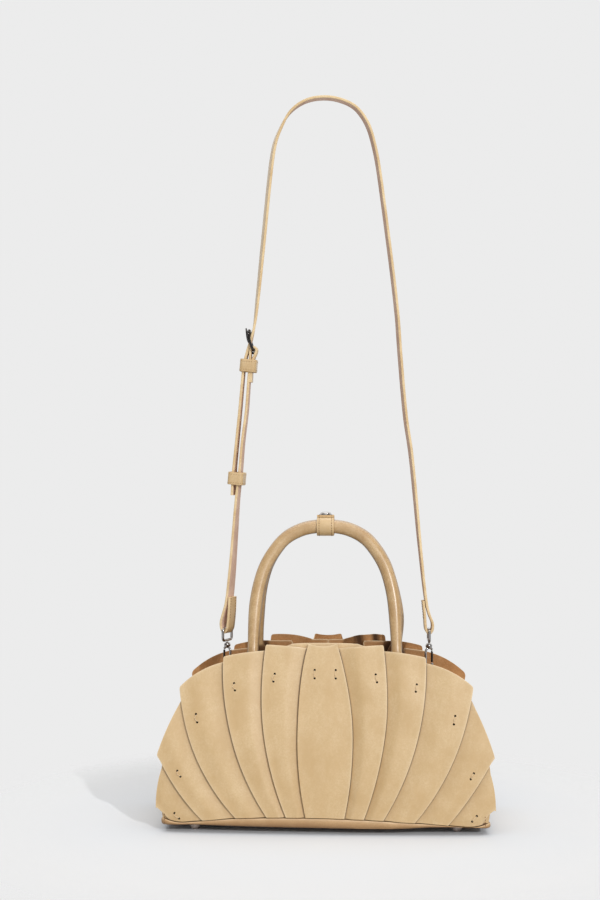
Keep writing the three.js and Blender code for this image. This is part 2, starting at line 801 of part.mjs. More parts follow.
// The short strap's upper end folds over the buckle's bar and runs back down beside itself.
function shortStrap() {
  const turnRadius = buckleWire / 2 + touchGap + strapLeather / 2;
  const foldLead = 0.027 * buckleHeight;
  const overBar = [180, 135, 90, 45, 0].map((degrees) => {
    const angle = THREE.MathUtils.degToRad(degrees);
    const x = buckleBarX + turnRadius * Math.cos(angle);
    return strapStation(x, 0, buckleBarZ + turnRadius * Math.sin(angle), 0);
  });
  const besideX = rowStation(shortStrapRows.at(-1)).point.x + strapLeather + touchGap;
  const tail = [
    strapStation(besideX + 0.03 * buckleHeight, 0, buckleBarZ - 0.6 * buckleHeight, 0),
    strapStation(besideX - 0.01 * buckleHeight, 0, buckleBarZ - 1.09 * buckleHeight, -1),
    strapStation(besideX - 0.04 * buckleHeight, 0, buckleBarZ - 1.58 * buckleHeight, -2),
  ];
  const stations = [
    ...foldRows.map((row) => foldStation(row, leftRingX, leftRingTwist)),
    ...shortStrapRows.map(rowStation),
    strapStation(buckleBarX - turnRadius - foldLead, 0, buckleBarZ - 0.6 * buckleHeight, 0),
    ...overBar,
    ...tail,
  ];
  const slotWidth = prongWire + 2 * prongSlack;
  const slot = new THREE.BoxGeometry(prongSlotDepth, slotWidth, foldSlotHeight);
  slot.translate(buckleBarX, 0, buckleBarZ);
  return cutAway(strapBand(stations, 2), [slot]);
}

addPiece("strap_long", longStrap(), tan);
addPiece("strap_short", shortStrap(), tan);

// A closed rounded rectangle of points in the plane of two directions.
function roundedLoop(centre, first, second, halfFirst, halfSecond, corner, cornerSteps) {
  const points = [];
  for (let quarter = 0; quarter < 4; quarter++) {
    const signFirst = quarter === 0 || quarter === 3 ? 1 : -1;
    const signSecond = quarter < 2 ? 1 : -1;
    for (let i = 0; i <= cornerSteps; i++) {
      const angle = (Math.PI / 2) * (quarter + i / cornerSteps);
      const a = signFirst * (halfFirst - corner) + corner * Math.cos(angle);
      const b = signSecond * (halfSecond - corner) + corner * Math.sin(angle);
      points.push(centre.clone().addScaledVector(first, a).addScaledVector(second, b));
    }
  }
  return points;
}

// Buckle: a bowed wire frame with its bar in the short strap's fold, and a prong that turns on the bar.
const buckleBar = new THREE.Vector3(buckleBarX, 0, buckleBarZ);
const buckleTop = new THREE.Vector3(buckleTopX, 0, buckleTopZ);

function buckleFrame() {
  const centre = buckleBar.clone().lerp(buckleTop, 0.5);
  const up = buckleTop.clone().sub(buckleBar);
  const halfHeight = up.length() / 2;
  up.normalize();
  const depth = new THREE.Vector3(0, 1, 0);
  const path = roundedLoop(centre, depth, up, buckleHalfWidth, halfHeight, 4, 3);
  for (const point of path) {
    const share = point.clone().sub(centre).dot(up) / halfHeight;
    point.x -= buckleBow * (1 - share ** 2);
  }
  const square = new THREE.Vector3().crossVectors(depth, up);
  return tube(path, buckleWire / 2, 8, square, true);
}

function buckleProng() {
  const eyeRadius = (buckleWire + prongWire) / 2 + touchGap;
  const points = [80, 30, -20, -70, -120, -165].map((degrees) => {
    const angle = THREE.MathUtils.degToRad(degrees);
    const x = buckleBarX + eyeRadius * Math.cos(angle);
    return new THREE.Vector3(x, 0, buckleBarZ + eyeRadius * Math.sin(angle));
  });
  const clear = (buckleWire + prongWire) / 2 + touchGap + 0.01 * buckleHeight;
  const place = (x, z) => points.push(new THREE.Vector3(x, 0, z));
  place(buckleBarX - eyeRadius - 0.04 * buckleHeight, buckleBarZ + 0.25 * buckleHeight);
  place(buckleTopX - 0.09 * buckleHeight, buckleTopZ - 0.43 * buckleHeight);
  place(buckleTopX - clear, buckleTopZ - 0.05 * buckleHeight);
  place(buckleTopX - clear - 0.03 * buckleHeight, buckleTopZ + 0.13 * buckleHeight);
  return tube(smoothPath(points, 2), prongWire / 2, 6, new THREE.Vector3(0, 1, 0));
}

addPiece("buckle_frame", buckleFrame(), darkMetal);
addPiece("buckle_prong", buckleProng(), darkMetal);

// Keepers: sewn leather loops round the layers of the strap.
function keeper(lowX, highX, z, lean, twist) {
  const halfWide = (highX - lowX) / 2 + keeperSlack;
  const halfDeep = strapWidth / 2 + keeperSlack;
  const ringShape = (extra) => {
    const origin = new THREE.Vector3();
    const across = new THREE.Vector3(1, 0, 0);
    const deep = new THREE.Vector3(0, 1, 0);
    const corner = 1.2 + extra;
    const loop = roundedLoop(origin, across, deep, halfWide + extra, halfDeep + extra, corner, 2);
    return loop.map((point) => new THREE.Vector2(point.x, point.y));
  };
  const shape = new THREE.Shape(ringShape(keeperLeather));
  shape.holes.push(new THREE.Path(ringShape(0)));
  const geometry = new THREE.ExtrudeGeometry(shape, { depth: keeperHeight, bevelEnabled: false });
  geometry.translate(0, 0, -keeperHeight / 2);
  const piece = new THREE.Mesh(geometry);
  piece.rotation.set(0, THREE.MathUtils.degToRad(lean), THREE.MathUtils.degToRad(twist), "ZYX");
  piece.position.set((lowX + highX) / 2, 0, z);
  piece.updateMatrix();
  return geometry.applyMatrix4(piece.matrix);
}

function strapXAt(stations, z) {
  const spots = stations.map((station) => station.point).sort((a, b) => a.z - b.z);
  const next = spots.findIndex((spot) => spot.z > z);
  const low = spots[next - 1];
  const high = spots[next];
  return THREE.MathUtils.mapLinear(z, low.z, high.z, low.x, high.x);
}

const freeStations = [...buckleRows.map(buckleStation), ...freeEndRows.map(rowStation)];
const shortStations = shortStrapRows.map(rowStation);
const upperKeeperZ = buckleBarZ - 0.76 * buckleHeight;
const lowerKeeperZ = heightAt(lowerKeeperUp);
const tailBulge = 0.05 * buckleHeight;
const upperHighX = shortStations.at(-1).point.x + 1.5 * strapLeather + touchGap + tailBulge;
const upperLowX = strapXAt(freeStations, upperKeeperZ) - strapLeather / 2;
const lowerSlack = strapLeather / 2 + keeperSlack;
const lowerLowX = strapXAt(freeStations, lowerKeeperZ) - lowerSlack;
const lowerHighX = strapXAt(shortStations, lowerKeeperZ) + lowerSlack;
addPiece("keeper_upper", keeper(upperLowX, upperHighX, upperKeeperZ, 5, -1), tan);
addPiece("keeper_lower", keeper(lowerLowX, lowerHighX, lowerKeeperZ, 5, -7), tan);

// Rings, snap hooks and D-rings, one set at each end of the strap.
const ringTopZ = foldBottomZ + strapLeather / 2 + touchGap + foldSlack + ringWire / 2;
const ringBottomZ = ringTopZ - ringHeight;
const ballZ = ringBottomZ - ringWire / 2 - touchGap - ballRadius;
const hookTopZ = ballZ - 0.6 * ballRadius;
const hookBottomZ = hookTopZ - hookHeight;

function turned(degrees) {
  const angle = THREE.MathUtils.degToRad(degrees);
  return new THREE.Vector3(Math.cos(angle), Math.sin(angle), 0);
}

function eyeRing(ringX, twist) {
  const centre = new THREE.Vector3(ringX, 0, (ringTopZ + ringBottomZ) / 2);
  const face = turned(twist);
  const across = new THREE.Vector3(-face.y, face.x, 0);
  const up = new THREE.Vector3(0, 0, 1);
  const path = roundedLoop(centre, across, up, ringHalfWidth, ringHeight / 2, 2.6, 3);
  return tube(path, ringWire / 2, 6, face, true);
}

// The hook's wire runs from the shoulder above the gate round the back and up to the tip; across is
// a share of its half width and down a share of its height below the ball.
const hookRows = [
  { across: 1, down: 0.09 },
  { across: 0.62, down: 0.01 },
  { across: 0, down: -0.02 },
  { across: -0.62, down: 0.03 },
  { across: -1, down: 0.16 },
  { across: -1.02, down: 0.5 },
  { across: -1, down: 0.78 },
  { across: -0.72, down: 0.94 },
  { across: 0, down: 1 },
  { across: 0.72, down: 0.94 },
  { across: 1, down: 0.82 },
  { across: 1.02, down: 0.72 },
];
const gatePivotDown = 0.18;
const gateTipDown = 0.69;

function hookPlace(ringX, direction, across, down) {
  const point = new THREE.Vector3(ringX, 0, hookTopZ - down * hookHeight);
  return point.addScaledVector(direction, across * hookHalfWidth);
}

function snapHook(ringX, direction) {
  const points = hookRows.map((row) => hookPlace(ringX, direction, row.across, row.down));
  const square = new THREE.Vector3(-direction.y, direction.x, 0);
  const wire = tube(smoothPath(points, 2), hookWire / 2, 6, square);
  const ball = new THREE.SphereGeometry(ballRadius, 10, 6);
  ball.rotateX(Math.PI / 2);
  ball.translate(ringX, 0, ballZ);
  return fromSolid(toSolid(wire).add(toSolid(ball)));
}

function hookGate(ringX, direction) {
  const pivot = hookPlace(ringX, direction, 1.01, gatePivotDown);
  const tip = hookPlace(ringX, direction, 1.01, gateTipDown);
  const roundEnd = 0.42 * gateWire;
  const path = [
    pivot.clone().add(new THREE.Vector3(0, 0, roundEnd)),
    pivot,
    pivot.clone().lerp(tip, 0.5),
    tip,
  ];
  const square = new THREE.Vector3(-direction.y, direction.x, 0);
  const radii = [0.24, 0.5, 0.5, 0.46];
  const reach = (share) => radii[Math.round(share * 3)] * gateWire;
  return tube(path, reach, 8, square);
}

const tabOffset = leather / 2 + 0.5 + tabLeather / 2;
const tabTurnCentre = () => {
  const end = gussetSkin(1, 0, 0);
  return end.addScaledVector(gussetTangent(1), 3);
};

function dRing(ringX) {
  const side = Math.sign(ringX);
  const bar = tabTurnCentre();
  const low = new THREE.Vector3(side * bar.x, 0, bar.y);
  const holdZ = hookBottomZ + hookWire / 2 + touchGap + dRingWire / 2;
  const high = new THREE.Vector3(ringX, 0, holdZ);
  const up = high.clone().sub(low);
  const height = up.length();
  up.normalize();
  const depth = new THREE.Vector3(0, 1, 0);
  const path = [];
  const place = (across, along) =>
    path.push(low.clone().addScaledVector(depth, across).addScaledVector(up, along));
  const cornerShare = 0.14;
  place(-0.85 * dRingHalfWidth, 0);
  place(0.85 * dRingHalfWidth, 0);
  place(dRingHalfWidth, cornerShare * height);
  const arcSteps = 10;
  for (let i = 0; i <= arcSteps; i++) {
    const angle = Math.PI * (i / arcSteps);
    const rise = 0.42 + 0.58 * Math.sin(angle);
    place(dRingHalfWidth * Math.cos(angle), rise * height);
  }
  place(-dRingHalfWidth, cornerShare * height);
  const square = new THREE.Vector3().crossVectors(depth, up);
  return tube(path, dRingWire / 2, 6, square, true);
}

function dRingTab(side) {
  const lengthShare = tabLength / 190;
  const layers = 4;
  const path = [];
  const push = (flat) => path.push(new THREE.Vector3(side * flat.x, 0, flat.y));
  for (let i = 0; i < layers; i++) {
    push(gussetSkin(1 - lengthShare * (1 - i / layers), 0, -tabOffset));
  }
  const centre = tabTurnCentre();
  const tangent = gussetTangent(1);
  for (const degrees of [-90, -45, 0, 45, 90]) {
    const angle = THREE.MathUtils.degToRad(degrees);
    const point = centre.clone().addScaledVector(tangent, tabOffset * Math.cos(angle));
    point.x += tangent.y * tabOffset * Math.sin(angle);
    point.y -= tangent.x * tabOffset * Math.sin(angle);
    push(point);
  }
  for (let i = layers - 1; i >= 0; i--) {
    push(gussetSkin(1 - lengthShare * (1 - i / layers), 0, tabOffset));
  }
  return band(path, tabWidth, tabLeather, () => new THREE.Vector3(0, 1, 0));
}

for (const end of [
  { name: "left", ringX: leftRingX, twist: leftRingTwist, turn: 180 - hookTurn },
  { name: "right", ringX: rightRingX, twist: rightRingTwist, turn: hookTurn },
]) {
  const direction = turned(end.turn);
  addPiece(`ring_${end.name}`, eyeRing(end.ringX, end.twist), silver);
  addPiece(`hook_${end.name}`, snapHook(end.ringX, direction), silver);
  addPiece(`gate_${end.name}`, hookGate(end.ringX, direction), darkMetal);
  addPiece(`d_ring_${end.name}`, dRing(end.ringX), silver);
  addPiece(`d_ring_tab_${end.name}`, dRingTab(Math.sign(end.ringX)), tan);
}

export default bag;
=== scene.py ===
import math

import bmesh
import bpy
from mathutils import Matrix, Vector, noise
from mathutils.bvhtree import BVHTree


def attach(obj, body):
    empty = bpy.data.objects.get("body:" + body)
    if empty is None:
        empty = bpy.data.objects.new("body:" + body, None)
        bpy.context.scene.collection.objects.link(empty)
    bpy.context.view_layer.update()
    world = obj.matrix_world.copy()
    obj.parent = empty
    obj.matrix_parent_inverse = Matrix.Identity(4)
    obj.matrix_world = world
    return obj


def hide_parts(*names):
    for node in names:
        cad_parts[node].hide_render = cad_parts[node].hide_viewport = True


# Pleated dome satchel: its fine surfaces, built round the fixed frame. Lengths are in millimetres,
# as the part's are, and become metres where a mesh is made.
MM = 0.001

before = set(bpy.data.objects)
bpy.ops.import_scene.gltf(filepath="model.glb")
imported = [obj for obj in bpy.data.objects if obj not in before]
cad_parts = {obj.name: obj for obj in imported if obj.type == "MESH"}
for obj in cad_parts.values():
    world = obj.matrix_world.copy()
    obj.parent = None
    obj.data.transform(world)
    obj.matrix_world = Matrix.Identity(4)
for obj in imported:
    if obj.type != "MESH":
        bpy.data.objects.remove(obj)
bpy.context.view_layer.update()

# Camera: level, turned a little to the bag's right, at the height of the handles.
photo_height = 900
focal_pixels = 1587
sensor_size = 36
camera_place = Vector((38.8, -1449.6, 337))
camera_turn = 2.5

# The bag's form.
fan_half_width = 150
fan_height = 166
half_depth_top = 42
half_depth_base = 60
depth_curve = 1.8
side_taper = 6
leather = 2
touch_gap = 0.3
base_inset = 6.2
base_underside = 4
base_thickness = 6
foot_radius = 4.9
foot_flat_radius = 1.6
foot_inset_x = 27.8
foot_inset_y = 18
wall_inset = 3
front_wall_rise = 154.7
back_wall_rise = 148.2
dome_exponent = 2.85
wall_end_share = 0.995
wall_flare = 0.022
wall_flare_height = 35
gusset_inset = 5
gusset_reach = 107
gusset_dent = 5
wall_foot_z = base_underside + base_thickness + touch_gap
base_half_width = fan_half_width - base_inset
wall_half_width = fan_half_width - wall_inset
foot_x = base_half_width - foot_inset_x
foot_y = half_depth_base - foot_inset_y

# Handles and their wrap.
handle_half_span = 64
handle_shift = -1
handle_foot_z = 157
handle_rise = 110.3
handle_radius = 6
handle_spacing = 1
handle_tab_depth = 27
handle_tab_thickness = 5
handle_tab_width = 17
handle_tab_gap = 0.6
handle_apex_y = handle_radius + handle_spacing / 2
handle_apex_z = handle_foot_z + handle_rise
wrap_width = 15.5
wrap_leather = 1.8
wrap_clearance = 0.6
snap_radius = 5.4
snap_height = 2.6

# Shoulder strap, buckle, keepers, rings, hooks and tabs.
strap_spread = 94
strap_height = 660
strap_width = 13
strap_leather = 2.3
fold_height = 26
ring_x = {"left": -91.2, "right": 93}
ring_twist = {"left": -23, "right": 2}
fold_bottom_z = 170.5
fold_slack = 0.35
strap_hole_radius = 1.9
strap_hole_pitch = 26
buckle_bar_across = -0.7106
buckle_bar_up = 0.4995
buckle_height = 18.4
buckle_lean = 12
buckle_half_width = 9.6
buckle_wire = 2.5
buckle_bow = 1.4
prong_wire = 2
keeper_leather = 1.8
keeper_height = 11.5
keeper_slack = 0.8
lower_keeper_up = 0.247
ring_wire = 2.5
ring_height = 10.4
ring_half_width = 8.4
hook_wire = 2.2
hook_half_width = 3.5
hook_height = 19.6
hook_turn = 35
ball_radius = 3
gate_wire = 2
d_ring_wire = 2.2
d_ring_half_width = 8
tab_leather = 1.5
tab_width = 12
tab_length = 16

fold_top_z = fold_bottom_z + fold_height
ring_top_z = fold_bottom_z + strap_leather / 2 + touch_gap + fold_slack + ring_wire / 2
ring_bottom_z = ring_top_z - ring_height
ball_z = ring_bottom_z - ring_wire / 2 - touch_gap - ball_radius
hook_top_z = ball_z - 0.6 * ball_radius
hook_bottom_z = hook_top_z - hook_height


# Small helpers with numbers and directions.

def lerp(a, b, share):
    return a + (b - a) * share


def clamp(value, low=0.0, high=1.0):
    return max(low, min(high, value))


def smooth(share):
    share = clamp(share)
    return share * share * (3 - 2 * share)


def arc(start, end, steps):
    """Cosine and sine of angles at an even pitch, with both ends."""
    for k in range(steps + 1):
        angle = lerp(start, end, k / steps)
        yield math.cos(angle), math.sin(angle)


def square_to(along, direction):
    """The part of a direction that is square to another, as a unit vector."""
    return (direction - along * direction.dot(along)).normalized()


# Materials: node trees are written through a small helper that adds nodes and joins sockets.

class Wiring:
    def __init__(self, tree):
        self.tree = tree

    def node(self, kind, settings=None, **inputs):
        made = self.tree.nodes.new(kind)
        for name, value in (settings or {}).items():
            setattr(made, name, value)
        for name, value in inputs.items():
            self.feed(made.inputs[name.replace("_", " ")], value)
        return made

    def feed(self, socket, value):
        if isinstance(value, bpy.types.NodeSocket):
            self.tree.links.new(value, socket)
        else:
            socket.default_value = value

    def math(self, operation, first, second=0.0):
        made = self.tree.nodes.new("ShaderNodeMath")
        made.operation = operation
        self.feed(made.inputs[0], first)
        self.feed(made.inputs[1], second)
        return made.outputs[0]

    def times(self, first, second):
        return self.math("MULTIPLY", first, second)

    def plus(self, first, second):
        return self.math("ADD", first, second)

    def spread(self, value, low, high, to_low=0.0, to_high=1.0):
        made = self.tree.nodes.new("ShaderNodeMapRange")
        made.interpolation_type = "SMOOTHSTEP"
        ends = {"From Min": low, "From Max": high, "To Min": to_low, "To Max": to_high}
        for name, number in ends.items():
            made.inputs[name].default_value = number
        self.feed(made.inputs["Value"], value)
        return made.outputs["Result"]

    def tint(self, share, first, second, blend="MIX"):
        made = self.tree.nodes.new("ShaderNodeMix")
        made.data_type = "RGBA"
        made.blend_type = blend
        self.feed(made.inputs[0], share)
        self.feed(made.inputs[6], first)
        self.feed(made.inputs[7], second)
        return made.outputs[2]

    def noise(self, place, scale, detail=3.0, roughness=0.55):
        made = self.node("ShaderNodeTexNoise", None, Vector=place, Scale=scale, Detail=detail)
        made.inputs["Roughness"].default_value = roughness
        return made.outputs["Fac"]


def rgb(red, green, blue):
    """A colour written in the 0 to 255 numbers of a screen, as linear light."""
    def linear(value):
        share = value / 255
        return share / 12.92 if share <= 0.04045 else ((share + 0.055) / 1.055) ** 2.4
    return (linear(red), linear(green), linear(blue), 1.0)


def new_group(name, inputs, outputs):
    tree = bpy.data.node_groups.new(name, "ShaderNodeTree")
    for label, value in inputs:
        socket = tree.interface.new_socket(label, in_out="INPUT", socket_type="NodeSocketFloat")
        socket.default_value = value
    for label in outputs:
        tree.interface.new_socket(label, in_out="OUTPUT", socket_type="NodeSocketFloat")
    wiring = Wiring(tree)
    return wiring, tree.nodes.new("NodeGroupInput"), tree.nodes.new("NodeGroupOutput")


def leather_face_group():
    """Waxed calf: large hazy patches, faint stretch streaks, small pores and a fine creased grain."""
    inputs = [("Patch Scale", 22.0), ("Pore Scale", 620.0), ("Grain Depth", 0.5)]
    outputs = ["Patches", "Haze", "Speckle", "Pores", "Height"]
    wiring, source, sink = new_group("leather_face", inputs, outputs)
    place = wiring.node("ShaderNodeTexCoord").outputs["Object"]
    patches = wiring.noise(place, source.outputs["Patch Scale"], 5.0, 0.62)
    stretched = wiring.node("ShaderNodeMapping", None, Vector=place)
    stretched.inputs["Scale"].default_value = (1.0, 1.0, 0.55)
    haze_scale = wiring.times(source.outputs["Patch Scale"], 1.7)
    haze = wiring.noise(stretched.outputs["Vector"], haze_scale, 8.0, 0.78)
    speckle_scale = wiring.times(source.outputs["Pore Scale"], 1.05)
    speckle = wiring.noise(place, speckle_scale, 2.0, 0.75)
    pores = wiring.node("ShaderNodeTexVoronoi", {"feature": "F1"}, Vector=place)
    wiring.feed(pores.inputs["Scale"], source.outputs["Pore Scale"])
    pit = wiring.spread(pores.outputs["Distance"], 0.05, 0.42, 1.0, 0.0)
    crease_scale = wiring.times(source.outputs["Pore Scale"], 0.55)
    crease = wiring.noise(place, crease_scale, 4.0, 0.6)
    raised = wiring.math("SUBTRACT", crease, wiring.times(pit, 0.45))
    height = wiring.times(raised, source.outputs["Grain Depth"])
    wiring.feed(sink.inputs["Patches"], wiring.spread(patches, 0.34, 0.68))
    wiring.feed(sink.inputs["Haze"], wiring.spread(haze, 0.38, 0.72))
    wiring.feed(sink.inputs["Speckle"], wiring.spread(speckle, 0.34, 0.66))
    wiring.feed(sink.inputs["Pores"], pit)
    wiring.feed(sink.inputs["Height"], height)
    return wiring.tree


def flesh_side_group():
    """The unfinished side of the hide: short fibres and a soft nap."""
    inputs = [("Fibre Scale", 650.0)]
    wiring, source, sink = new_group("flesh_side", inputs, ["Nap", "Fibres", "Height"])
    place = wiring.node("ShaderNodeTexCoord").outputs["Object"]
    nap = wiring.noise(place, 60.0, 5.0, 0.6)
    fibres = wiring.noise(place, source.outputs["Fibre Scale"], 6.0, 0.75)
    wiring.feed(sink.inputs["Nap"], wiring.spread(nap, 0.3, 0.7))
    wiring.feed(sink.inputs["Fibres"], fibres)
    wiring.feed(sink.inputs["Height"], fibres)
    return wiring.tree


def polish_group():
    """Polished metal that has been handled: smears in the gloss and hair-fine scratches."""
    inputs = [("Smear", 0.1)]
    wiring, source, sink = new_group("polish", inputs, ["Dull", "Scratch"])
    place = wiring.node("ShaderNodeTexCoord").outputs["Object"]
    smear = wiring.noise(place, 180.0, 4.0, 0.6)
    long = wiring.node("ShaderNodeMapping", None, Vector=place)
    long.inputs["Scale"].default_value = (1.0, 1.0, 0.06)
    scratch = wiring.noise(long.outputs["Vector"], 2600.0, 2.0, 0.5)
    dull = wiring.times(wiring.spread(smear, 0.3, 0.75), source.outputs["Smear"])
    wiring.feed(sink.inputs["Dull"], dull)
    wiring.feed(sink.inputs["Scratch"], scratch)
    return wiring.tree


groups = {
    "leather": leather_face_group(),
    "flesh": flesh_side_group(),
    "polish": polish_group(),
}


def place_group(wiring, name, **inputs):
    made = wiring.tree.nodes.new("ShaderNodeGroup")
    made.node_tree = groups[name]
    for label, value in inputs.items():
        wiring.feed(made.inputs[label.replace("_", " ")], value)
    return made.outputs


def new_material(name):
    material = bpy.data.materials.new(name)
    material.use_nodes = True
    tree = material.node_tree
    shader = tree.nodes["Principled BSDF"]
    return material, Wiring(tree), shader


# Tones shared by the leathers: a paler edge, partly burnish and partly painted highlight; painted shade on
# the grain side; a pale cut; and painted shade on the flesh side.
burnish_and_highlight_tone = (244, 222, 184)
painted_shade_tone = (80, 47, 26)
pale_cut_tone = (246, 222, 182)
painted_hollow_shade_tone = (52, 31, 20)


def mask(wiring, name):
    """A mask kept on the mesh's points; a mesh without it reads 0."""
    made = wiring.node("ShaderNodeAttribute", {"attribute_name": name})
    return made.outputs["Fac"]


def bumped(wiring, shader, height, distance, strength=1.0):
    bump = wiring.node("ShaderNodeBump", None, Height=height)
    bump.inputs["Distance"].default_value = distance * MM
    bump.inputs["Strength"].default_value = strength
    wiring.feed(shader.inputs["Normal"], bump.outputs["Normal"])


def leather_material(name, tones, patch_scale=38.0, grain_depth=1.0, gloss=0.42, coat=0.14):
    """Smooth leather: body colour with deeper and paler patches, painted shade where the shade mask is set,
    and paler edges, partly burnish and partly painted highlight.
    """
    material, wiring, shader = new_material(name)
    body, deep, pale = (rgb(*tone) for tone in tones)
    face = place_group(wiring, "leather", Patch_Scale=patch_scale, Grain_Depth=grain_depth)
    colour = wiring.tint(face["Patches"], deep, body)
    colour = wiring.tint(wiring.times(face["Haze"], 0.45), colour, pale)
    colour = wiring.tint(wiring.times(face["Speckle"], 0.55), colour, deep)
    colour = wiring.tint(wiring.times(face["Pores"], 0.4), colour, deep)
    # Paler edges: partly burnish, partly painted highlight.
    colour = wiring.tint(wiring.times(mask(wiring, "rim"), 0.5), colour, rgb(*burnish_and_highlight_tone))
    # Painted shade: seam lines, the shadow under the hem, the base's underside and the handles' shaded
    # sides.
    shade = wiring.times(mask(wiring, "crease"), 0.95)
    colour = wiring.tint(shade, colour, rgb(*painted_shade_tone))
    wiring.feed(shader.inputs["Base Color"], colour)
    rough = wiring.plus(wiring.times(face["Haze"], 0.1), gloss)
    rough = wiring.plus(wiring.times(face["Pores"], 0.12), rough)
    wiring.feed(shader.inputs["Roughness"], rough)
    shader.inputs["Specular IOR Level"].default_value = 0.75
    shader.inputs["Coat Weight"].default_value = coat
    shader.inputs["Coat Roughness"].default_value = 0.24
    bumped(wiring, shader, face["Height"], 0.12, 0.55)
    return material


def flesh_material(name, tones, gloss=0.78, nap_depth=0.18):
    """The hide's unfinished side: painted shade where the shade mask is set, and pale along a cut edge."""
    material, wiring, shader = new_material(name)
    body, deep, pale = (rgb(*tone) for tone in tones)
    side = place_group(wiring, "flesh")
    colour = wiring.tint(side["Nap"], deep, body)
    colour = wiring.tint(wiring.spread(side["Fibres"], 0.45, 0.75, 0.0, 0.6), colour, pale)
    colour = wiring.tint(mask(wiring, "rim"), colour, rgb(*pale_cut_tone))
    # Painted shade: the wavy strip's hollows and the places beside the back handle's feet.
    shade = wiring.times(mask(wiring, "crease"), 0.9)
    colour = wiring.tint(shade, colour, rgb(*painted_hollow_shade_tone))
    wiring.feed(shader.inputs["Base Color"], colour)
    rough = wiring.plus(wiring.times(side["Nap"], 0.12), gloss)
    wiring.feed(shader.inputs["Roughness"], rough)
    shader.inputs["Specular IOR Level"].default_value = 0.3
    bumped(wiring, shader, side["Height"], nap_depth, 0.5)
    return material


def metal_material(name, tones, gloss, smear=0.1):
    """Plated metal with its gloss a little smeared and its colour tarnished there."""
    material, wiring, shader = new_material(name)
    colour, tarnish = (rgb(*tone) for tone in tones)
    polish = place_group(wiring, "polish", Smear=smear)
    stain = wiring.times(polish["Dull"], 2.5)
    wiring.feed(shader.inputs["Base Color"], wiring.tint(stain, colour, tarnish))
    shader.inputs["Metallic"].default_value = 1.0
    wiring.feed(shader.inputs["Roughness"], wiring.plus(polish["Dull"], gloss))
    bumped(wiring, shader, polish["Scratch"], 0.01, 0.25)
    return material


def thread_material(name, tones):
    """Waxed thread: two plies read as slanting bands along it."""
    material, wiring, shader = new_material(name)
    body, deep = (rgb(*tone) for tone in tones)
    place = wiring.node("ShaderNodeTexCoord").outputs["Object"]
    plies = wiring.node("ShaderNodeTexWave", {"bands_direction": "DIAGONAL"}, Vector=place, Scale=420.0)
    wiring.feed(shader.inputs["Base Color"], wiring.tint(plies.outputs["Fac"], deep, body))
    lint = wiring.noise(place, 1500.0)
    wiring.feed(shader.inputs["Roughness"], wiring.plus(wiring.times(lint, 0.3), 0.5))
    bumped(wiring, shader, plies.outputs["Fac"], 0.08, 0.6)
    return material


def punched_material():
    """A flat dark mark for a punched hole: near-black painted shade for its depth, mottled with dark brown.
    """
    material, wiring, shader = new_material("punched_hole")
    place = wiring.node("ShaderNodeTexCoord").outputs["Object"]
    hole_shade_mottle = wiring.noise(place, 700.0, 3.0)
    # Near-black to dark brown: painted shade for the hole's depth.
    wiring.feed(shader.inputs["Base Color"], wiring.tint(hole_shade_mottle, rgb(8, 5, 3), rgb(30, 18, 10)))
    wiring.feed(shader.inputs["Roughness"], wiring.plus(wiring.times(hole_shade_mottle, 0.1), 0.85))
    shader.inputs["Specular IOR Level"].default_value = 0.1
    return material


# Finishes: each one's body tone, then its deeper and its paler tone where it has them, written in the
# 0 to 255 numbers of a screen.
tones = {
    "tan": ((217, 186, 138), (207, 173, 122), (229, 204, 162)),
    "base": ((206, 165, 113), (190, 147, 97), (218, 183, 134)),
    # The handles: a darker copy of the tan leather; the darkening is painted shade.
    "handle": ((206, 172, 124), (184, 147, 99), (226, 201, 158)),
    "cut_edge": ((226, 196, 150), (196, 160, 112), (238, 216, 176)),
    # The strap's edges: pale edge paint, made lighter still as a painted highlight.
    "strap_edge": ((238, 211, 166), (216, 183, 135), (246, 226, 188)),
    "dark_edge": ((124, 84, 53), (104, 68, 42), (150, 106, 68)),
    "flesh": ((196, 147, 99), (172, 123, 78), (212, 167, 120)),
    "underside": ((226, 196, 176), (206, 171, 150), (237, 211, 193)),
    "silver": ((190, 187, 185), (150, 144, 139)),
    # The feet: a paler, pinkish copy of the bright metal; the extra paleness is painted light, so the feet
    # read lit in the bag's shadow.
    "foot": ((236, 224, 216), (196, 178, 168)),
    "dark_metal": ((78, 74, 72), (50, 46, 44)),
    "thread": ((214, 182, 132), (164, 126, 80)),
    "brown_thread": ((150, 106, 64), (104, 68, 38)),
    "pale_thread": ((240, 220, 184), (206, 172, 124)),
}
looks = {
    "tan": leather_material("tan_leather_face", tones["tan"], coat=0.4),
    "base": leather_material("base_leather_face", tones["base"]),
    "handle": leather_material("handle_leather_face", tones["handle"], 60.0, 0.6, 0.34, 0.4),
    "cut_edge": flesh_material("cut_leather_edge", tones["cut_edge"]),
    "strap_edge": flesh_material("strap_edge", tones["strap_edge"], 0.6, 0.05),
    "dark_edge": flesh_material("painted_edge", tones["dark_edge"], 0.6),
    "flesh": flesh_material("flesh_side", tones["flesh"]),
    "underside": flesh_material("strap_underside", tones["underside"]),
    "silver": metal_material("bright_metal_face", tones["silver"], 0.09),
    "foot": metal_material("foot_metal_face", tones["foot"], 0.55),
    "dark_metal": metal_material("dark_metal_face", tones["dark_metal"], 0.12, 0.12),
    "thread": thread_material("tan_thread", tones["thread"]),
    "brown_thread": thread_material("brown_thread", tones["brown_thread"]),
    "pale_thread": thread_material("pale_thread", tones["pale_thread"]),
    "hole": punched_material(),
}

# The looks of a cut sheet's outer face, inner face and edge, and a slot name for each metal.
sheet_faces = ["tan", "flesh", "cut_edge"]
metal_slots = {"silver": "bright_metal", "foot": "bright_metal", "dark_metal": "dark_metal"}


# Meshes: points in millimetres become a mesh in metres, with its faces pointing out.

# Angles, in degrees, past which an edge is drawn sharp on a solid and on a sheet or band.
solid_sharp = 42
sheet_sharp = 50


def new_object(name, data):
    made = bpy.data.objects.new(name, data)
    bpy.context.scene.collection.objects.link(made)
    return made


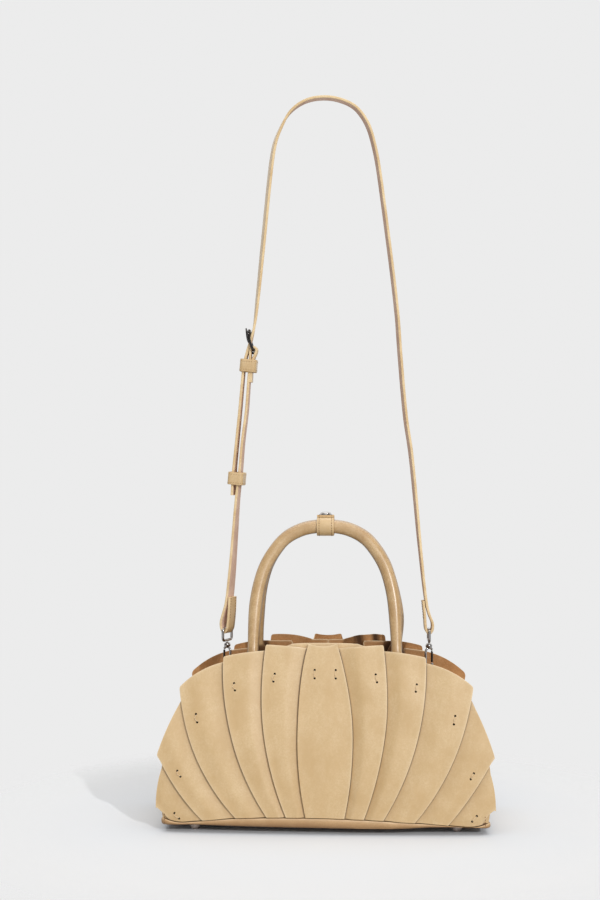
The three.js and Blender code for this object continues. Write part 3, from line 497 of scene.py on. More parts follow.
def mesh_object(name, points, faces, materials, slots, masks=None, sharp=solid_sharp):
    mesh = bpy.data.meshes.new(name)
    mesh.from_pydata([point * MM for point in points], [], faces)
    for key in materials:
        mesh.materials.append(looks[key])
    mesh.polygons.foreach_set("material_index", slots)
    for label, values in (masks or {}).items():
        layer = mesh.attributes.new(label, "FLOAT", "POINT")
        layer.data.foreach_set("value", values)
    shape = bmesh.new()
    shape.from_mesh(mesh)
    bmesh.ops.recalc_face_normals(shape, faces=shape.faces)
    shape.to_mesh(mesh)
    shape.free()
    mesh.shade_smooth()
    mesh.set_sharp_from_angle(angle=math.radians(sharp))
    return new_object(name, mesh)


def settle(piece, slot, *nodes, body="bag"):
    """Every piece rides on a body and may stand for a part of the frame, which it then hides; the slot is
    not used.
    """
    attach(piece, body)
    if nodes:
        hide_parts(*nodes)


def soften_rims(mesh, width):
    """Rounds the edges between a sheet's faces and its cut rim."""
    shape = bmesh.new()
    shape.from_mesh(mesh)
    rim = 2
    borders = []
    for edge in shape.edges:
        indices = sorted(face.material_index for face in edge.link_faces)
        if len(indices) == 2 and indices[0] != rim and indices[1] == rim:
            borders.append(edge)
    bmesh.ops.bevel(
        shape, geom=borders, offset=width * MM, segments=2, profile=0.5, affect="EDGES", clamp_overlap=True
    )
    shape.to_mesh(mesh)
    shape.free()


# How far a sheet's cut edges are rounded off.
edge_rounding = 0.45


def leather_sheet(name, rows, columns, place, materials, masks_at=None):
    """A sheet with a wall: place(i, j, outer) gives row i's and column j's point on either face."""
    across = columns + 1
    layer = (rows + 1) * across
    points = []
    masks = {"crease": [], "rim": []}
    for outer in (True, False):
        for i in range(rows + 1):
            for j in range(across):
                points.append(place(i, j, outer))
                crease, rim = masks_at(i, j, outer) if masks_at else (0.0, 0.0)
                masks["crease"].append(crease)
                masks["rim"].append(rim)
    faces = []
    slots = []

    def at(i, j, side):
        return side * layer + i * across + j

    def quad(slot, *corners):
        faces.append(corners)
        slots.append(slot)

    for i in range(rows):
        for j in range(columns):
            quad(0, at(i, j, 0), at(i, j + 1, 0), at(i + 1, j + 1, 0), at(i + 1, j, 0))
            quad(1, at(i, j, 1), at(i + 1, j, 1), at(i + 1, j + 1, 1), at(i, j + 1, 1))
    for j in range(columns):
        quad(2, at(0, j, 0), at(0, j, 1), at(0, j + 1, 1), at(0, j + 1, 0))
        quad(2, at(rows, j, 0), at(rows, j + 1, 0), at(rows, j + 1, 1), at(rows, j, 1))
    for i in range(rows):
        quad(2, at(i, 0, 0), at(i + 1, 0, 0), at(i + 1, 0, 1), at(i, 0, 1))
        quad(2, at(i, columns, 0), at(i, columns, 1), at(i + 1, columns, 1), at(i + 1, columns, 0))
    made = mesh_object(name, points, faces, materials, slots, masks)
    soften_rims(made.data, edge_rounding)
    made.data.set_sharp_from_angle(angle=math.radians(sheet_sharp))
    return made


def loft(rings, loops=False, slot_at=None):
    """Points, faces and slots of a skin through rings of equally many points."""
    sides = len(rings[0])
    points = [point for ring in rings for point in ring]
    faces = []
    slots = []
    spans = len(rings) if loops else len(rings) - 1
    for i in range(spans):
        near = i * sides
        far = ((i + 1) % len(rings)) * sides
        for j in range(sides):
            following = (j + 1) % sides
            faces.append((near + j, near + following, far + following, far + j))
            slots.append(slot_at(i, j) if slot_at else 0)
    if not loops:
        last = (len(rings) - 1) * sides
        faces.append(tuple(range(sides)))
        faces.append(tuple(range(last, last + sides)))
        slots.extend([slot_at(0, -1) if slot_at else 0] * 2)
    return points, faces, slots


def tangent_at(path, i, loops=False):
    count = len(path)
    before = path[(i - 1) % count] if loops else path[max(i - 1, 0)]
    after = path[(i + 1) % count] if loops else path[min(i + 1, count - 1)]
    return (after - before).normalized()


def tube_rings(path, radius, sides, level, loops=False):
    """Round sections square to a path; level is a direction off the path, radius a number or rule."""
    rings = []
    for i, centre in enumerate(path):
        along = tangent_at(path, i, loops)
        first = square_to(along, level)
        second = along.cross(first)
        reach = radius(i / (len(path) - 1)) if callable(radius) else radius
        ring = []
        for j in range(sides):
            angle = 2 * math.pi * (j + 0.5) / sides
            ring.append(centre + first * (reach * math.cos(angle)) + second * (reach * math.sin(angle)))
        rings.append(ring)
    return rings


def band_section(width, thickness, rounding, steps=3):
    """A flat band's section with rounded corners, as (across, off) pairs, starting on its outer face."""
    section = []
    centres = [
        (width / 2 - rounding, thickness / 2 - rounding, 0),
        (rounding - width / 2, thickness / 2 - rounding, 90),
        (rounding - width / 2, rounding - thickness / 2, 180),
        (width / 2 - rounding, rounding - thickness / 2, 270),
    ]
    for across, off, start in centres:
        for step in range(steps + 1):
            angle = math.radians(start + 90 * step / steps)
            section.append((across + rounding * math.cos(angle), off + rounding * math.sin(angle)))
    return section


def band_rings(path, section, width_at, loops=False):
    rings = []
    for i, centre in enumerate(path):
        along = tangent_at(path, i, loops)
        across = square_to(along, width_at(i))
        normal = along.cross(across)
        rings.append([centre + across * a + normal * b for a, b in section])
    return rings


def smooth_path(points, steps):
    """A centripetal curve through the points, with steps for each span."""
    path = []
    count = len(points)
    for k in range(count - 1):
        second = points[k]
        third = points[k + 1]
        first = points[k - 1] if k > 0 else second * 2 - third
        fourth = points[k + 2] if k + 2 < count else third * 2 - second
        spans = ((first, second), (second, third), (third, fourth))
        before, middle, after = (max((b - a).length ** 0.5, 1e-4) for a, b in spans)
        leave = (second - first) / before - (third - first) / (before + middle) + (third - second) / middle
        arrive = (third - second) / middle - (fourth - second) / (middle + after) + (fourth - third) / after
        leave = leave * middle
        arrive = arrive * middle
        for step in range(steps):
            t = step / steps
            square = t * t
            cube = square * t
            path.append(
                second * (2 * cube - 3 * square + 1)
                + third * (3 * square - 2 * cube)
                + leave * (cube - 2 * square + t)
                + arrive * (cube - square)
            )
    path.append(points[-1].copy())
    return path


def solid_from_rings(name, rings, material, loops=False):
    points, faces, slots = loft(rings, loops)
    return mesh_object(name, points, faces, [material], slots)


# Sides of a thin wire's section.
wire_sides = 14


def wire_piece(node, path, radius, sides, level, look, loops=False, body="bag"):
    """A bent metal wire that stands for a node of the frame."""
    made = solid_from_rings("fine_" + node, tube_rings(path, radius, sides, level, loops), look, loops)
    settle(made, metal_slots[look], node, body=body)


def lathe_rings(profile, sides, place):
    """Rings of a turned shape about Z from (radius, height) pairs."""
    rings = []
    for radius, height in profile:
        ring = []
        for j in range(sides):
            angle = 2 * math.pi * j / sides
            ring.append(place + Vector((radius * math.cos(angle), radius * math.sin(angle), height)))
        rings.append(ring)
    return rings


def turned_piece(node, profile, sides, place, look):
    """A turned metal piece that stands for a node of the frame."""
    made = solid_from_rings("fine_" + node, lathe_rings(profile, sides, place), look)
    settle(made, metal_slots[look], node)


def baked(source, name):
    """The evaluated mesh of an object as a plain new object; the old one goes."""
    graph = bpy.context.evaluated_depsgraph_get()
    graph.update()
    mesh = bpy.data.meshes.new_from_object(source.evaluated_get(graph))
    mesh.name = name
    bpy.data.objects.remove(source)
    return new_object(name, mesh)


def carve(piece, cutters, operation="DIFFERENCE"):
    """Cuts or joins solids exactly and keeps the piece's name."""
    name = piece.name
    for cutter in cutters:
        step = piece.modifiers.new("carve", "BOOLEAN")
        step.operation = operation
        step.solver = "EXACT"
        step.object = cutter
    piece.name = name + "_raw"
    made = baked(piece, name)
    for cutter in cutters:
        bpy.data.objects.remove(cutter)
    made.data.shade_smooth()
    made.data.set_sharp_from_angle(angle=math.radians(solid_sharp))
    return made


# Form of the bag: its depth, with the leather's own slight unevenness, and the dome outline.

def plain_half_depth(x, z):
    rise = (max(z, 0) / fan_height) ** depth_curve
    bulge = (half_depth_base - half_depth_top) * (1 - rise)
    return half_depth_top + bulge - side_taper * (x / fan_half_width) ** 2


ripple_size = 1.1

# Places on the front where the leather bulges a little and catches the light: (x, z, size, height).
bulge_rows = (
    (76, 114, 10, 1.5),
    (43, 125, 9, 1.0),
    (-96, 86, 15, 0.8),
    (-58, 60, 14, 0.6),
    (104, 84, 14, 0.8),
)


def bulges(x, z):
    return sum(
        height * math.exp(-((x - place_x) ** 2 + (z - place_z) ** 2) / (2 * size ** 2))
        for place_x, place_z, size, height in bulge_rows
    )


def ripple(x, z, side):
    wave = noise.noise(Vector((x / 42, side * 7.3, z / 60)))
    broad = noise.noise(Vector((x / 90 + 5.1, side * 3.1, z / 95)))
    rising = smooth((z - 14) / 70)
    bulge = bulges(x, z) if side < 0 else 0.0
    return ripple_size * rising * clamp(0.5 + 0.6 * wave + 0.7 * broad) + bulge


def half_depth(x, z, side):
    return plain_half_depth(x, z) + ripple(x, z, side)


def dome_height(x, half_width, rise):
    share = min(abs(x) / half_width, 1)
    return rise * (1 - share ** dome_exponent) ** (1 / dome_exponent)


# Strips' outlines: rows as in the frame, lengths as shares of the fan's half width and height. The
# back fan's free ends, seen from inside, stand a little lower at the middle.
strip_columns = (
    "name", "foot", "corner_x", "corner_z", "bow", "crown", "cross_z", "tuck_x", "tuck_z", "lap",
)
strip_table = (
    ("centre", 0.113, 0.086, 0.999, 0.065, -0.015, 0.0, 0.0, 0.0, 0.0),
    ("inner", 0.227, 0.359, 0.991, 0.073, 0.003, 0.972, 0.09, -0.004, 0.42),
    ("middle", 0.34, 0.592, 0.926, 0.086, 0.006, 0.957, 0.142, -0.006, 0.42),
    ("outer", 0.523, 0.861, 0.765, 0.077, 0.02, 0.895, 0.12, 0.014, 0.6),
    ("side", 0.717, 0.989, 0.414, 0.028, 0.008, 0.693, 0.098, 0.03, 0.64),
    ("corner", 0.917, 0.996, 0.136, 0.004, 0.01, 0.355, 0.072, 0.032, 0.6),
)
strip_rows = {
    "front": [dict(zip(strip_columns, row)) for row in strip_table],
    "back": [dict(zip(strip_columns, row)) for row in strip_table],
}
strip_rows["back"][0].update(corner_z=0.99, crown=-0.011)
strip_rows["back"][1].update(corner_z=0.982, crown=0.012, cross_z=0.957, tuck_x=0.1, tuck_z=0.0)
strip_rows["back"][2].update(corner_z=0.92, crown=0.008, cross_z=0.949, tuck_z=0.0)
tuck_foot = 0.06
strip_step = leather + touch_gap
edge_curl = 0.5
strip_puff = 0.9

# The hand-cut strips are not quite alike: the seams of each half bow a little less, and the front
# strips' upper ends lean, as (across, up) in millimetres.
bow_ease = {"left": 0.006, "right": 0.014, None: 0.004}
end_leans = {
    "front_centre": (-2.3, 0.0),
    "front_inner_left": (0.9, 0.0),
    "front_inner_right": (-2.3, 0.0),
    "front_middle_left": (-1.7, 0.0),
    "front_outer_right": (0.9, 1.6),
}

# The strips' lower ends hang over the base: height of the hem at places across the bag.
hem_rows = (
    (-150, 17.0),
    (-138, 11.5),
    (-130, 9.2),
    (-110, 11.2),
    (-92, 13.2),
    (-73, 14.5),
    (-42, 15.4),
    (0, 15.4),
    (44, 13.8),
    (68, 12.0),
    (95, 10.6),
    (113, 8.8),
    (130, 7.4),
    (138, 9.4),
    (150, 15.0),
)


def table_at(rows, x):
    """A height from a table of (place, height) rows, in straight lines between them."""
    if x <= rows[0][0]:
        return rows[0][1]
    for (near, low), (far, high) in zip(rows, rows[1:]):
        if x <= far:
            return lerp(low, high, (x - near) / (far - near))
    return rows[-1][1]


def hem(x):
    spread = (-6, -3, 0, 3, 6)
    return sum(table_at(hem_rows, x + shift) for shift in spread) / len(spread)


def seam(row, share, half):
    """A point on a strip's outer edge, from its foot to its corner, for either half of the fan."""
    foot_across = row["foot"] * fan_half_width
    foot = Vector((foot_across, hem(-foot_across if half == "left" else foot_across)))
    corner = Vector((row["corner_x"] * fan_half_width, row["corner_z"] * fan_height))
    chord = corner - foot
    bow = (row["bow"] - bow_ease[half]) * fan_half_width
    bulge = Vector((chord.y, -chord.x)).normalized() * bow
    return foot.lerp(corner, share) + bulge * (4 * share * (1 - share))


def share_at_height(row, z, half):
    low = 0.0
    high = 1.0
    for _ in range(30):
        middle = (low + high) / 2
        if seam(row, middle, half).y < z:
            low = middle
        else:
            high = middle
    return low


def patch_point(left, right, crown, foot_z, s, v):
    """The strip between two edge lines, as a patch with a bowed top; s runs across it and v up it."""
    slope = right(1) - left(1)
    top = left(1).lerp(right(1), s)
    top += Vector((-slope.y, slope.x)).normalized() * (crown * fan_height * 4 * s * (1 - s))
    bottom = left(0).lerp(right(0), s)
    bottom.y = foot_z(bottom.x)
    sides = left(v).lerp(right(v), s)
    ends = bottom.lerp(top, v)
    low = left(0).lerp(right(0), s)
    high = left(1).lerp(right(1), s)
    return sides + ends - low.lerp(high, v)


def strip_line(count, edges):
    """Places from 0 to 1 with the given fine steps at both edges."""
    last = edges[-1]
    inner = [lerp(last, 1 - last, k / count) for k in range(1, count)]
    return [0.0, *edges, *inner, *[1 - edge for edge in reversed(edges)], 1.0]


across_line = strip_line(16, (0.01, 0.024, 0.05))
tuck_line = [-1.0, -0.97, -0.93, -0.8, -0.6, -0.4, -0.2, -0.08]
up_line = strip_line(34, (0.003, 0.008, 0.016))

# One of the back strips is wavy at its upper end, with painted shade in its hollows: (place across it, half
# width).
wavy_strip = "back_inner_right"
wave_size = 3.0
wave_hollows = ((0.35, 0.11), (0.76, 0.09))
# Centre of the painted shade on the back strips' inner faces beside the back handle's feet.
handle_shade_x = 59
handle_shade_z = 149
corner_radii = {"front": 1.3, "back": 2.3}

# Painted light and shade: widths of the painted shadow line and the soft painted shade beside a seam, with
# the shade's strength, and of the pale edge on a strip's outer face (partly burnish, partly painted
# highlight), on its inner face (the pale cut) and on a wall.
painted_seam_line_width = 0.85
painted_seam_shade_width = 6
painted_seam_shade = 0.13
pale_edge_and_highlight_width = 0.9
pale_cut_width = 0.5


def strip(face, side, index, side_name=None):
    """One leather strip of a fan; side is -1 at the front and 1 at the back."""
    row = strip_rows[face][index]
    mirror = -1 if side_name == "left" else 1
    crown = row["crown"]
    is_last = index == len(strip_table) - 1
    label = f"{face}_{row['name']}"
    node = f"{face}_pleat_{row['name']}"
    if side_name:
        label += f"_{side_name}"
        node += f"_{side_name}"
    lean = Vector(end_leans.get(label, (0.0, 0.0)))
    lean_inner = lean
    if index > 0:
        inner_label = f"{face}_{strip_rows[face][index - 1]['name']}"
        if index > 1:
            inner_label += f"_{side_name}"
        lean_inner = Vector(end_leans.get(inner_label, (0.0, 0.0)))

    def foot_z(x):
        return hem(mirror * x)

    def right(v):
        return seam(row, v, side_name)

    if index == 0:
        places = across_line

        def left(v):
            point = seam(row, v, side_name)
            return Vector((-point.x, point.y))

        def spot(u, v):
            return patch_point(left, right, crown, foot_z, u, v)

        def lift(u):
            return 1.0
    else:
        inner = strip_rows[face][index - 1]
        inner_half = side_name if index > 1 else None
        cross_share = share_at_height(inner, row["cross_z"] * fan_height, inner_half)
        places = tuck_line + across_line

        def left(v):
            return seam(inner, v * cross_share, inner_half)

        def tucked(v):
            across = lerp(tuck_foot, row["tuck_x"], v) * fan_half_width
            edge = left(v) + Vector((-across, row["tuck_z"] * v * fan_height))
            if v == 0:
                edge.y = foot_z(edge.x)
            return edge

        def spot(u, v):
            if u < 0:
                return patch_point(left, right, crown, foot_z, 0, v).lerp(tucked(v), -u)
            return patch_point(left, right, crown, foot_z, u, v)

        def lift(u):
            return 0.0 if is_last else smooth(u / row["lap"])

    corner_radius = corner_radii[face]
    top_width = (spot(1, 1) - spot(0, 1)).length

    def corner_drop(u):
        """How far the rounded upper corners bring the strip's end down."""
        if u < 0:
            from_side = (u + 1) * row["tuck_x"] * fan_half_width
        else:
            from_side = (1 - u if index else min(u, 1 - u)) * top_width
        short = max(corner_radius - from_side, 0)
        return corner_radius - math.sqrt(corner_radius ** 2 - short ** 2)

    def hollow(u):
        if label != wavy_strip:
            return 0.0
        return max(math.exp(-(((u - middle) / half) ** 4)) for middle, half in wave_hollows)

    def relief(u, v):
        """Puff between the edges, curl at the free edges, and a wave in a loose upper end."""
        reach = clamp(u)
        puff = strip_puff * math.sin(math.pi * reach) * smooth(v / 0.2) * (1 - 0.5 * smooth((v - 0.8) / 0.2))
        near = reach if index else abs(2 * reach - 1)
        curl = edge_curl * smooth((near - 0.8) / 0.2) * smooth(v / 0.15)
        wave = wave_size * smooth((v - 0.86) / 0.14) * hollow(u)
        return puff + curl + wave

    def place(i, j, outer):
        u = places[j]
        v = up_line[i]
        point = spot(u, v)
        leaning = lean_inner.lerp(lean, clamp(u)) * smooth((v - 0.5) / 0.5)
        across = mirror * point.x + leaning.x
        z = point.y + leaning.y - corner_drop(u) * smooth((v - 0.9) / 0.1)
        depth = half_depth(across, z, side) + touch_gap + lift(u) * strip_step + relief(u, v)
        return Vector((across, side * (depth + (leather if outer else 0)), z))

    def masks_at(i, j, outer):
        u = places[j]
        v = up_line[i]
        width = max((spot(1, v) - spot(0, v)).length, 1)
        from_top = (1 - v) * fan_height
        if outer:
            # A painted shadow line and a soft painted shade beside the seam; the pale outer edge and top are
            # partly burnish, partly painted highlight.
            from_seam = max(u, 0) * width
            line = math.exp(-((from_seam / painted_seam_line_width) ** 1.5))
            soft = painted_seam_shade * math.exp(-from_seam / painted_seam_shade_width)
            crease = max(line, soft) if index else 0.0
            rim = math.exp(-min((1 - u) * width, from_top) / pale_edge_and_highlight_width)
            return crease * smooth((1 - v) / 0.04 + 0.4), rim
        # Inner faces: painted shade in the wavy strip's hollows and beside the back handle's feet, and a
        # pale cut along the tucks.
        shade = hollow(u) * smooth((v - 0.9) / 0.04)
        rim = 0.0
        if side > 0:
            x, z = spot(u, v)
            away = math.hypot((x - handle_shade_x) / (8 if mirror > 0 else 4), (z - handle_shade_z) / 9)
            shade = max(shade, smooth(1.6 - away))
            tuck_width = row["tuck_x"] * fan_half_width
            from_cut = min((u + 1) * tuck_width, from_top)
            rim = math.exp(-from_cut / pale_cut_width) if u < 0.04 else 0.0
        return shade, rim

    sheet = ["tan", "flesh", "cut_edge" if side < 0 else "dark_edge"]
    rows = len(up_line) - 1
    columns = len(places) - 1
    made = leather_sheet("fine_" + node, rows, columns, place, sheet, masks_at)
    settle(made, "tan_leather", node)
    return made


strips = {}
for face_name, face_side in (("front", -1), ("back", 1)):
    strips[face_name, 0, None] = strip(face_name, face_side, 0)
    for strip_index in range(1, len(strip_table)):
        for half in ("left", "right"):
            strips[face_name, strip_index, half] = strip(face_name, face_side, strip_index, half)


# Walls, gussets and base.

def dome_wall(face, side, rise):
    line = strip_line(30, (0.003, 0.008, 0.016))
    rows = len(line) - 1
    columns = 64

    def place(i, j, outer):
        spread = math.sin(math.pi / 2 * (2 * j / columns - 1))
        flat_x = wall_half_width * wall_end_share * spread
        edge_z = dome_height(flat_x, wall_half_width, rise) - wall_slope * smooth((abs(flat_x) - 26) / 24)
        z = wall_foot_z + max(edge_z, 1) * line[i]
        near = max(0, 1 - (z - wall_foot_z) / wall_flare_height)
        x = flat_x * (1 - wall_flare * near ** 2)
        depth = half_depth(x, z, side) - (0 if outer else leather)
        return Vector((x, side * depth, z))

    def masks_at(i, j, outer):
        # A pale band along the top: on the outer face partly burnish and partly painted highlight, on the
        # inner face the pale cut.
        return 0.0, math.exp(-(1 - line[i]) * rise / pale_edge_and_highlight_width)

    node = f"{face}_wall"
    made = leather_sheet("fine_" + node, rows, columns, place, sheet_faces, masks_at)
    settle(made, "flesh_leather", node)


# The back wall's edge sags below the strips' tucked ends, which show over it from the front.
back_wall_sag = 8
wall_slope = 6
dome_wall("front", -1, front_wall_rise + 0.6)
dome_wall("back", 1, back_wall_rise - back_wall_sag)

gusset_half_width = wall_half_width - gusset_inset
gusset_rise = back_wall_rise - gusset_inset
gusset_end_turn = math.acos((gusset_reach / gusset_half_width) ** (dome_exponent / 2))
gusset_fold = 0.7
gusset_row_easing = 1.35

# Near its end the gusset runs about this far for a share of 1, on each of its faces.
gusset_share_length = 95


def gusset_point(share):
    turn = gusset_end_turn * share
    x = gusset_half_width * max(math.cos(turn), 0) ** (2 / dome_exponent)
    z = wall_foot_z + gusset_rise * max(math.sin(turn), 0) ** (2 / dome_exponent)
    return Vector((x, z))


def gusset_tangent(share):
    step = 0.01
    return (gusset_point(min(share + step, 1)) - gusset_point(max(share - step, 0))).normalized()


def gusset_skin(share, across, offset):
    point = gusset_point(share)
    tangent = gusset_tangent(share)
    dent = gusset_dent * share * math.cos(math.pi / 2 * across)
    inward = dent - offset
    return Vector((point.x - tangent.y * inward, point.y + tangent.x * inward))


def gusset(side_name, side):
    rows = 56
    columns = 22

    def place(i, j, outer):
        share = (i / rows) ** gusset_row_easing
        across = 2 * j / columns - 1
        wave = noise.noise(Vector((across * 1.7, share * 6, side * 4)))
        fold = gusset_fold * smooth(share * 3) * wave
        offset = (leather / 2 if outer else -leather / 2) + fold * (1 - across ** 2)
        skin = gusset_skin(share, across, offset)
        z = wall_foot_z if i == 0 else skin.y
        reach = plain_half_depth(skin.x, skin.y) - leather - touch_gap
        return Vector((side * skin.x, across * reach, z))

    node = f"gusset_{side_name}"
    made = leather_sheet("fine_" + node, rows, columns, place, sheet_faces)
    settle(made, "tan_leather", node)


gusset("left", -1)
gusset("right", 1)

base_ledge = 3.4
base_soft_corner = 8
base_low_z = 6

# The band's lower edge, where the soft leather turns under: its height at places across the bag.
base_edge_rows = (
    (-143, 6.6),
    (-116, 7.6),
    (-80, 7.0),
    (-40, 6.6),
    (0, 6.2),
    (30, 5.2),
    (60, 5.4),
    (90, 7.4),
    (116, 7.6),
    (130, 7.2),
    (143, 5.8),
)


def base_plan():
    """The base's outline, anticlockwise from its right side, as points with outward directions."""
    corner_x = base_half_width - base_soft_corner
    corner_y = plain_half_depth(corner_x, wall_foot_z) - base_soft_corner
    quarter = []
    steps_up = 10
    for k in range(steps_up):
        quarter.append((Vector((base_half_width, corner_y * k / steps_up)), Vector((1, 0))))
    corner_steps = 10
    for k in range(corner_steps):
        angle = math.pi / 2 * k / corner_steps
        out = Vector((math.cos(angle), math.sin(angle)))
        quarter.append((Vector((corner_x, corner_y)) + out * base_soft_corner, out))
    steps_across = 40
    for k in range(steps_across + 1):
        x = corner_x * (1 - k / steps_across)
        out = Vector((2 * side_taper * x / fan_half_width ** 2, 1)).normalized()
        quarter.append((Vector((x, plain_half_depth(x, wall_foot_z))), out))
    plan = list(quarter)
    plan += [(Vector((-p.x, p.y)), Vector((-n.x, n.y))) for p, n in reversed(quarter[:-1])]
    plan += [(Vector((-p.x, -p.y)), Vector((-n.x, -n.y))) for p, n in quarter[1:]]
    plan += [(Vector((p.x, -p.y)), Vector((n.x, -n.y))) for p, n in reversed(quarter[1:-1])]
    return plan


def base_ring(reach, height, lower=0.0):
    """A ring round the base: reach out from the walls' face, share of the band's height, or below it."""
    ring = []
    for point, out in base_plan():
        facing = smooth(abs(out.y) * 1.3)
        edge = table_at(base_edge_rows, point.x)
        top = lerp(wall_foot_z - touch_gap, hem(point.x) - 0.7, facing)
        place = point + out * (reach if reach < 0 else reach * facing)
        ring.append(Vector((place.x, place.y, max(lerp(edge, top, height) - lower, base_low_z))))
    return ring


def inset_ring(offset, z):
    return [Vector((p.x - n.x * offset, p.y - n.y * offset, z)) for p, n in base_plan()]


def base_panel():
    """A soft band with rounded edges round the stiff slab; rings run from below, out and in on top."""
    top = wall_foot_z - touch_gap
    # Each row: a ring, its painted shade (deep underneath and low on the band, with a dark line under the
    # strips' hem) and its painted highlight along the ledge.
    rows = (
        (inset_ring(16, base_low_z), 0.6, 0.0),
        (inset_ring(7, base_low_z), 0.8, 0.0),
        (base_ring(-3, 0, 0.9), 0.95, 0.0),
        (base_ring(0.6, 0, 0.55), 0.85, 0.0),
        (base_ring(2.0, 0.02, 0.2), 0.7, 0.0),
        (base_ring(2.9, 0.1), 0.5, 0.0),
        (base_ring(base_ledge, 0.25), 0.44, 0.0),
        (base_ring(base_ledge + 0.25, 0.5), 0.25, 0.0),
        (base_ring(base_ledge, 0.8), 0.04, 0.2),
        (base_ring(base_ledge - 0.2, 0.93), 0.0, 1.0),
        (base_ring(base_ledge - 0.7, 0.99), 0.3, 0.3),
        (base_ring(base_ledge - 1.2, 1.0), 0.95, 0.0),
        (base_ring(0.15, 1.0), 0.95, 0.0),
        (inset_ring(-0.1, top), 0.5, 0.0),
        (inset_ring(16, top), 0.3, 0.0),
    )
    points, faces, slots = loft([ring for ring, _, _ in rows])
    masks = {
        "crease": [crease for ring, crease, _ in rows for _ in ring],
        "rim": [rim for ring, _, rim in rows for _ in ring],
    }
    made = mesh_object("fine_base_panel", points, faces, ["base"], slots, masks, sheet_sharp)
    settle(made, "tan_leather", "base_panel")


base_panel()


def foot_stud(node, x, y):
    centre_z = math.sqrt(foot_radius ** 2 - foot_flat_radius ** 2)
    start = math.asin(foot_flat_radius / foot_radius)
    turns = arc(start, math.pi / 2, 12)
    profile = [(foot_radius * sine, centre_z - foot_radius * cosine) for cosine, sine in turns]
    profile.append((foot_radius, base_low_z - 0.4))
    profile.append((foot_radius * 0.9, base_low_z - 0.05))
    turned_piece(node, profile, 32, Vector((x, y, 0)), "foot")


for depth_name, foot_place_y in (("front", -foot_y), ("back", foot_y)):
    for half, foot_place_x in (("left", -foot_x), ("right", foot_x)):
        foot_stud(f"foot_{depth_name}_{half}", foot_place_x, foot_place_y)


# Handles: rolled tubes whose ends flatten into tabs inside the walls.
handle_rows = [
    (1, 0),
    (0.99, 0.2),
    (0.965, 0.4),
    (0.915, 0.55),
    (0.84, 0.68),
    (0.72, 0.8),
    (0.56, 0.905),
    (0.33, 0.975),
    (0.1, 1),
]


# The rolled handles are a little slimmer where they leave the bag, and one back leg bows outwards.
handle_slim_foot = 0.82
handle_slim_height = 42
handle_sharp = 60
back_leg_bow = 3.2


def handle_leg_point(across, up, mirror):
    x = mirror * across * handle_half_span + handle_shift
    leg_y = plain_half_depth(x, handle_foot_z) - leather - touch_gap - handle_radius
    y = lerp(leg_y, handle_apex_y, min(1, up))
    return Vector((x, y, handle_foot_z + up * handle_rise))


def handle(side_name, side):
    def tabs(mirror):
        x = mirror * handle_half_span + handle_shift
        points = []
        for share in (1, 0.5):
            z = handle_foot_z - share * handle_tab_depth
            y = plain_half_depth(x, z) - leather - handle_tab_gap - handle_tab_thickness / 2
            points.append(Vector((x, y, z)))
        return points

    left = tabs(-1) + [handle_leg_point(a, u, -1) for a, u in handle_rows]
    right = tabs(1) + [handle_leg_point(a, u, 1) for a, u in handle_rows]
    if side > 0:
        for point in right:
            share = (point.z - handle_foot_z) / handle_rise
            point.x += back_leg_bow * math.exp(-(((share - 0.2) / 0.2) ** 2))
    path = smooth_path(left + right[::-1], 8)
    sides = 32
    flat_top = handle_foot_z - 0.35 * handle_tab_depth
    middle = Vector((handle_shift, 0, handle_foot_z + 0.3 * handle_rise))
    rings = []
    masks = {"crease": [], "rim": []}
    for i, centre in enumerate(path):
        along = tangent_at(path, i)
        out = square_to(along, Vector((0, 1, 0)))
        across = along.cross(out)
        inward = (middle - centre).dot(across)
        flat = clamp((handle_foot_z - centre.z) / (handle_foot_z - flat_top))
        slim = lerp(handle_slim_foot, 1, smooth((centre.z - handle_foot_z) / handle_slim_height))
        half_thick = lerp(handle_radius * slim, handle_tab_thickness / 2, flat)
        half_broad = lerp(handle_radius * slim, handle_tab_width / 2, flat)
        # Painted shade on the back handle's foot, below where it enters the bag.
        foot_shade = smooth((handle_foot_z + 0.5 - centre.z) / 3) if side > 0 else 0.0
        ring = []
        for j in range(sides):
            angle = 2 * math.pi * j / sides
            toward = math.sin(angle) * (1 if inward > 0 else -1)
            groove = 0.5 * (1 - flat) * math.exp(-((1 - toward) / 0.012))
            # A dark band along the inner side, partly the joint where the rolled edges meet and partly
            # painted shade, and a faint painted shade along the outer side.
            inner_line = 0.72 * smooth((toward - 0.76) / 0.2)
            outer_line = 0.22 * smooth((-toward - 0.84) / 0.14)
            masks["crease"].append(max(inner_line, outer_line, 0.9 * foot_shade))
            masks["rim"].append(0.0)
            share = 1 - groove / handle_radius
            point = centre + out * (half_thick * share * math.cos(angle))
            point += across * (half_broad * share * math.sin(angle))
            point.y *= side
            ring.append(point)
        rings.append(ring)
    node = f"{side_name}_handle"
    points, faces, slots = loft(rings)
    made = mesh_object("fine_" + node, points, faces, ["handle"], slots, masks, handle_sharp)
    settle(made, "tan_leather", node)


handle("front", -1)
handle("back", 1)


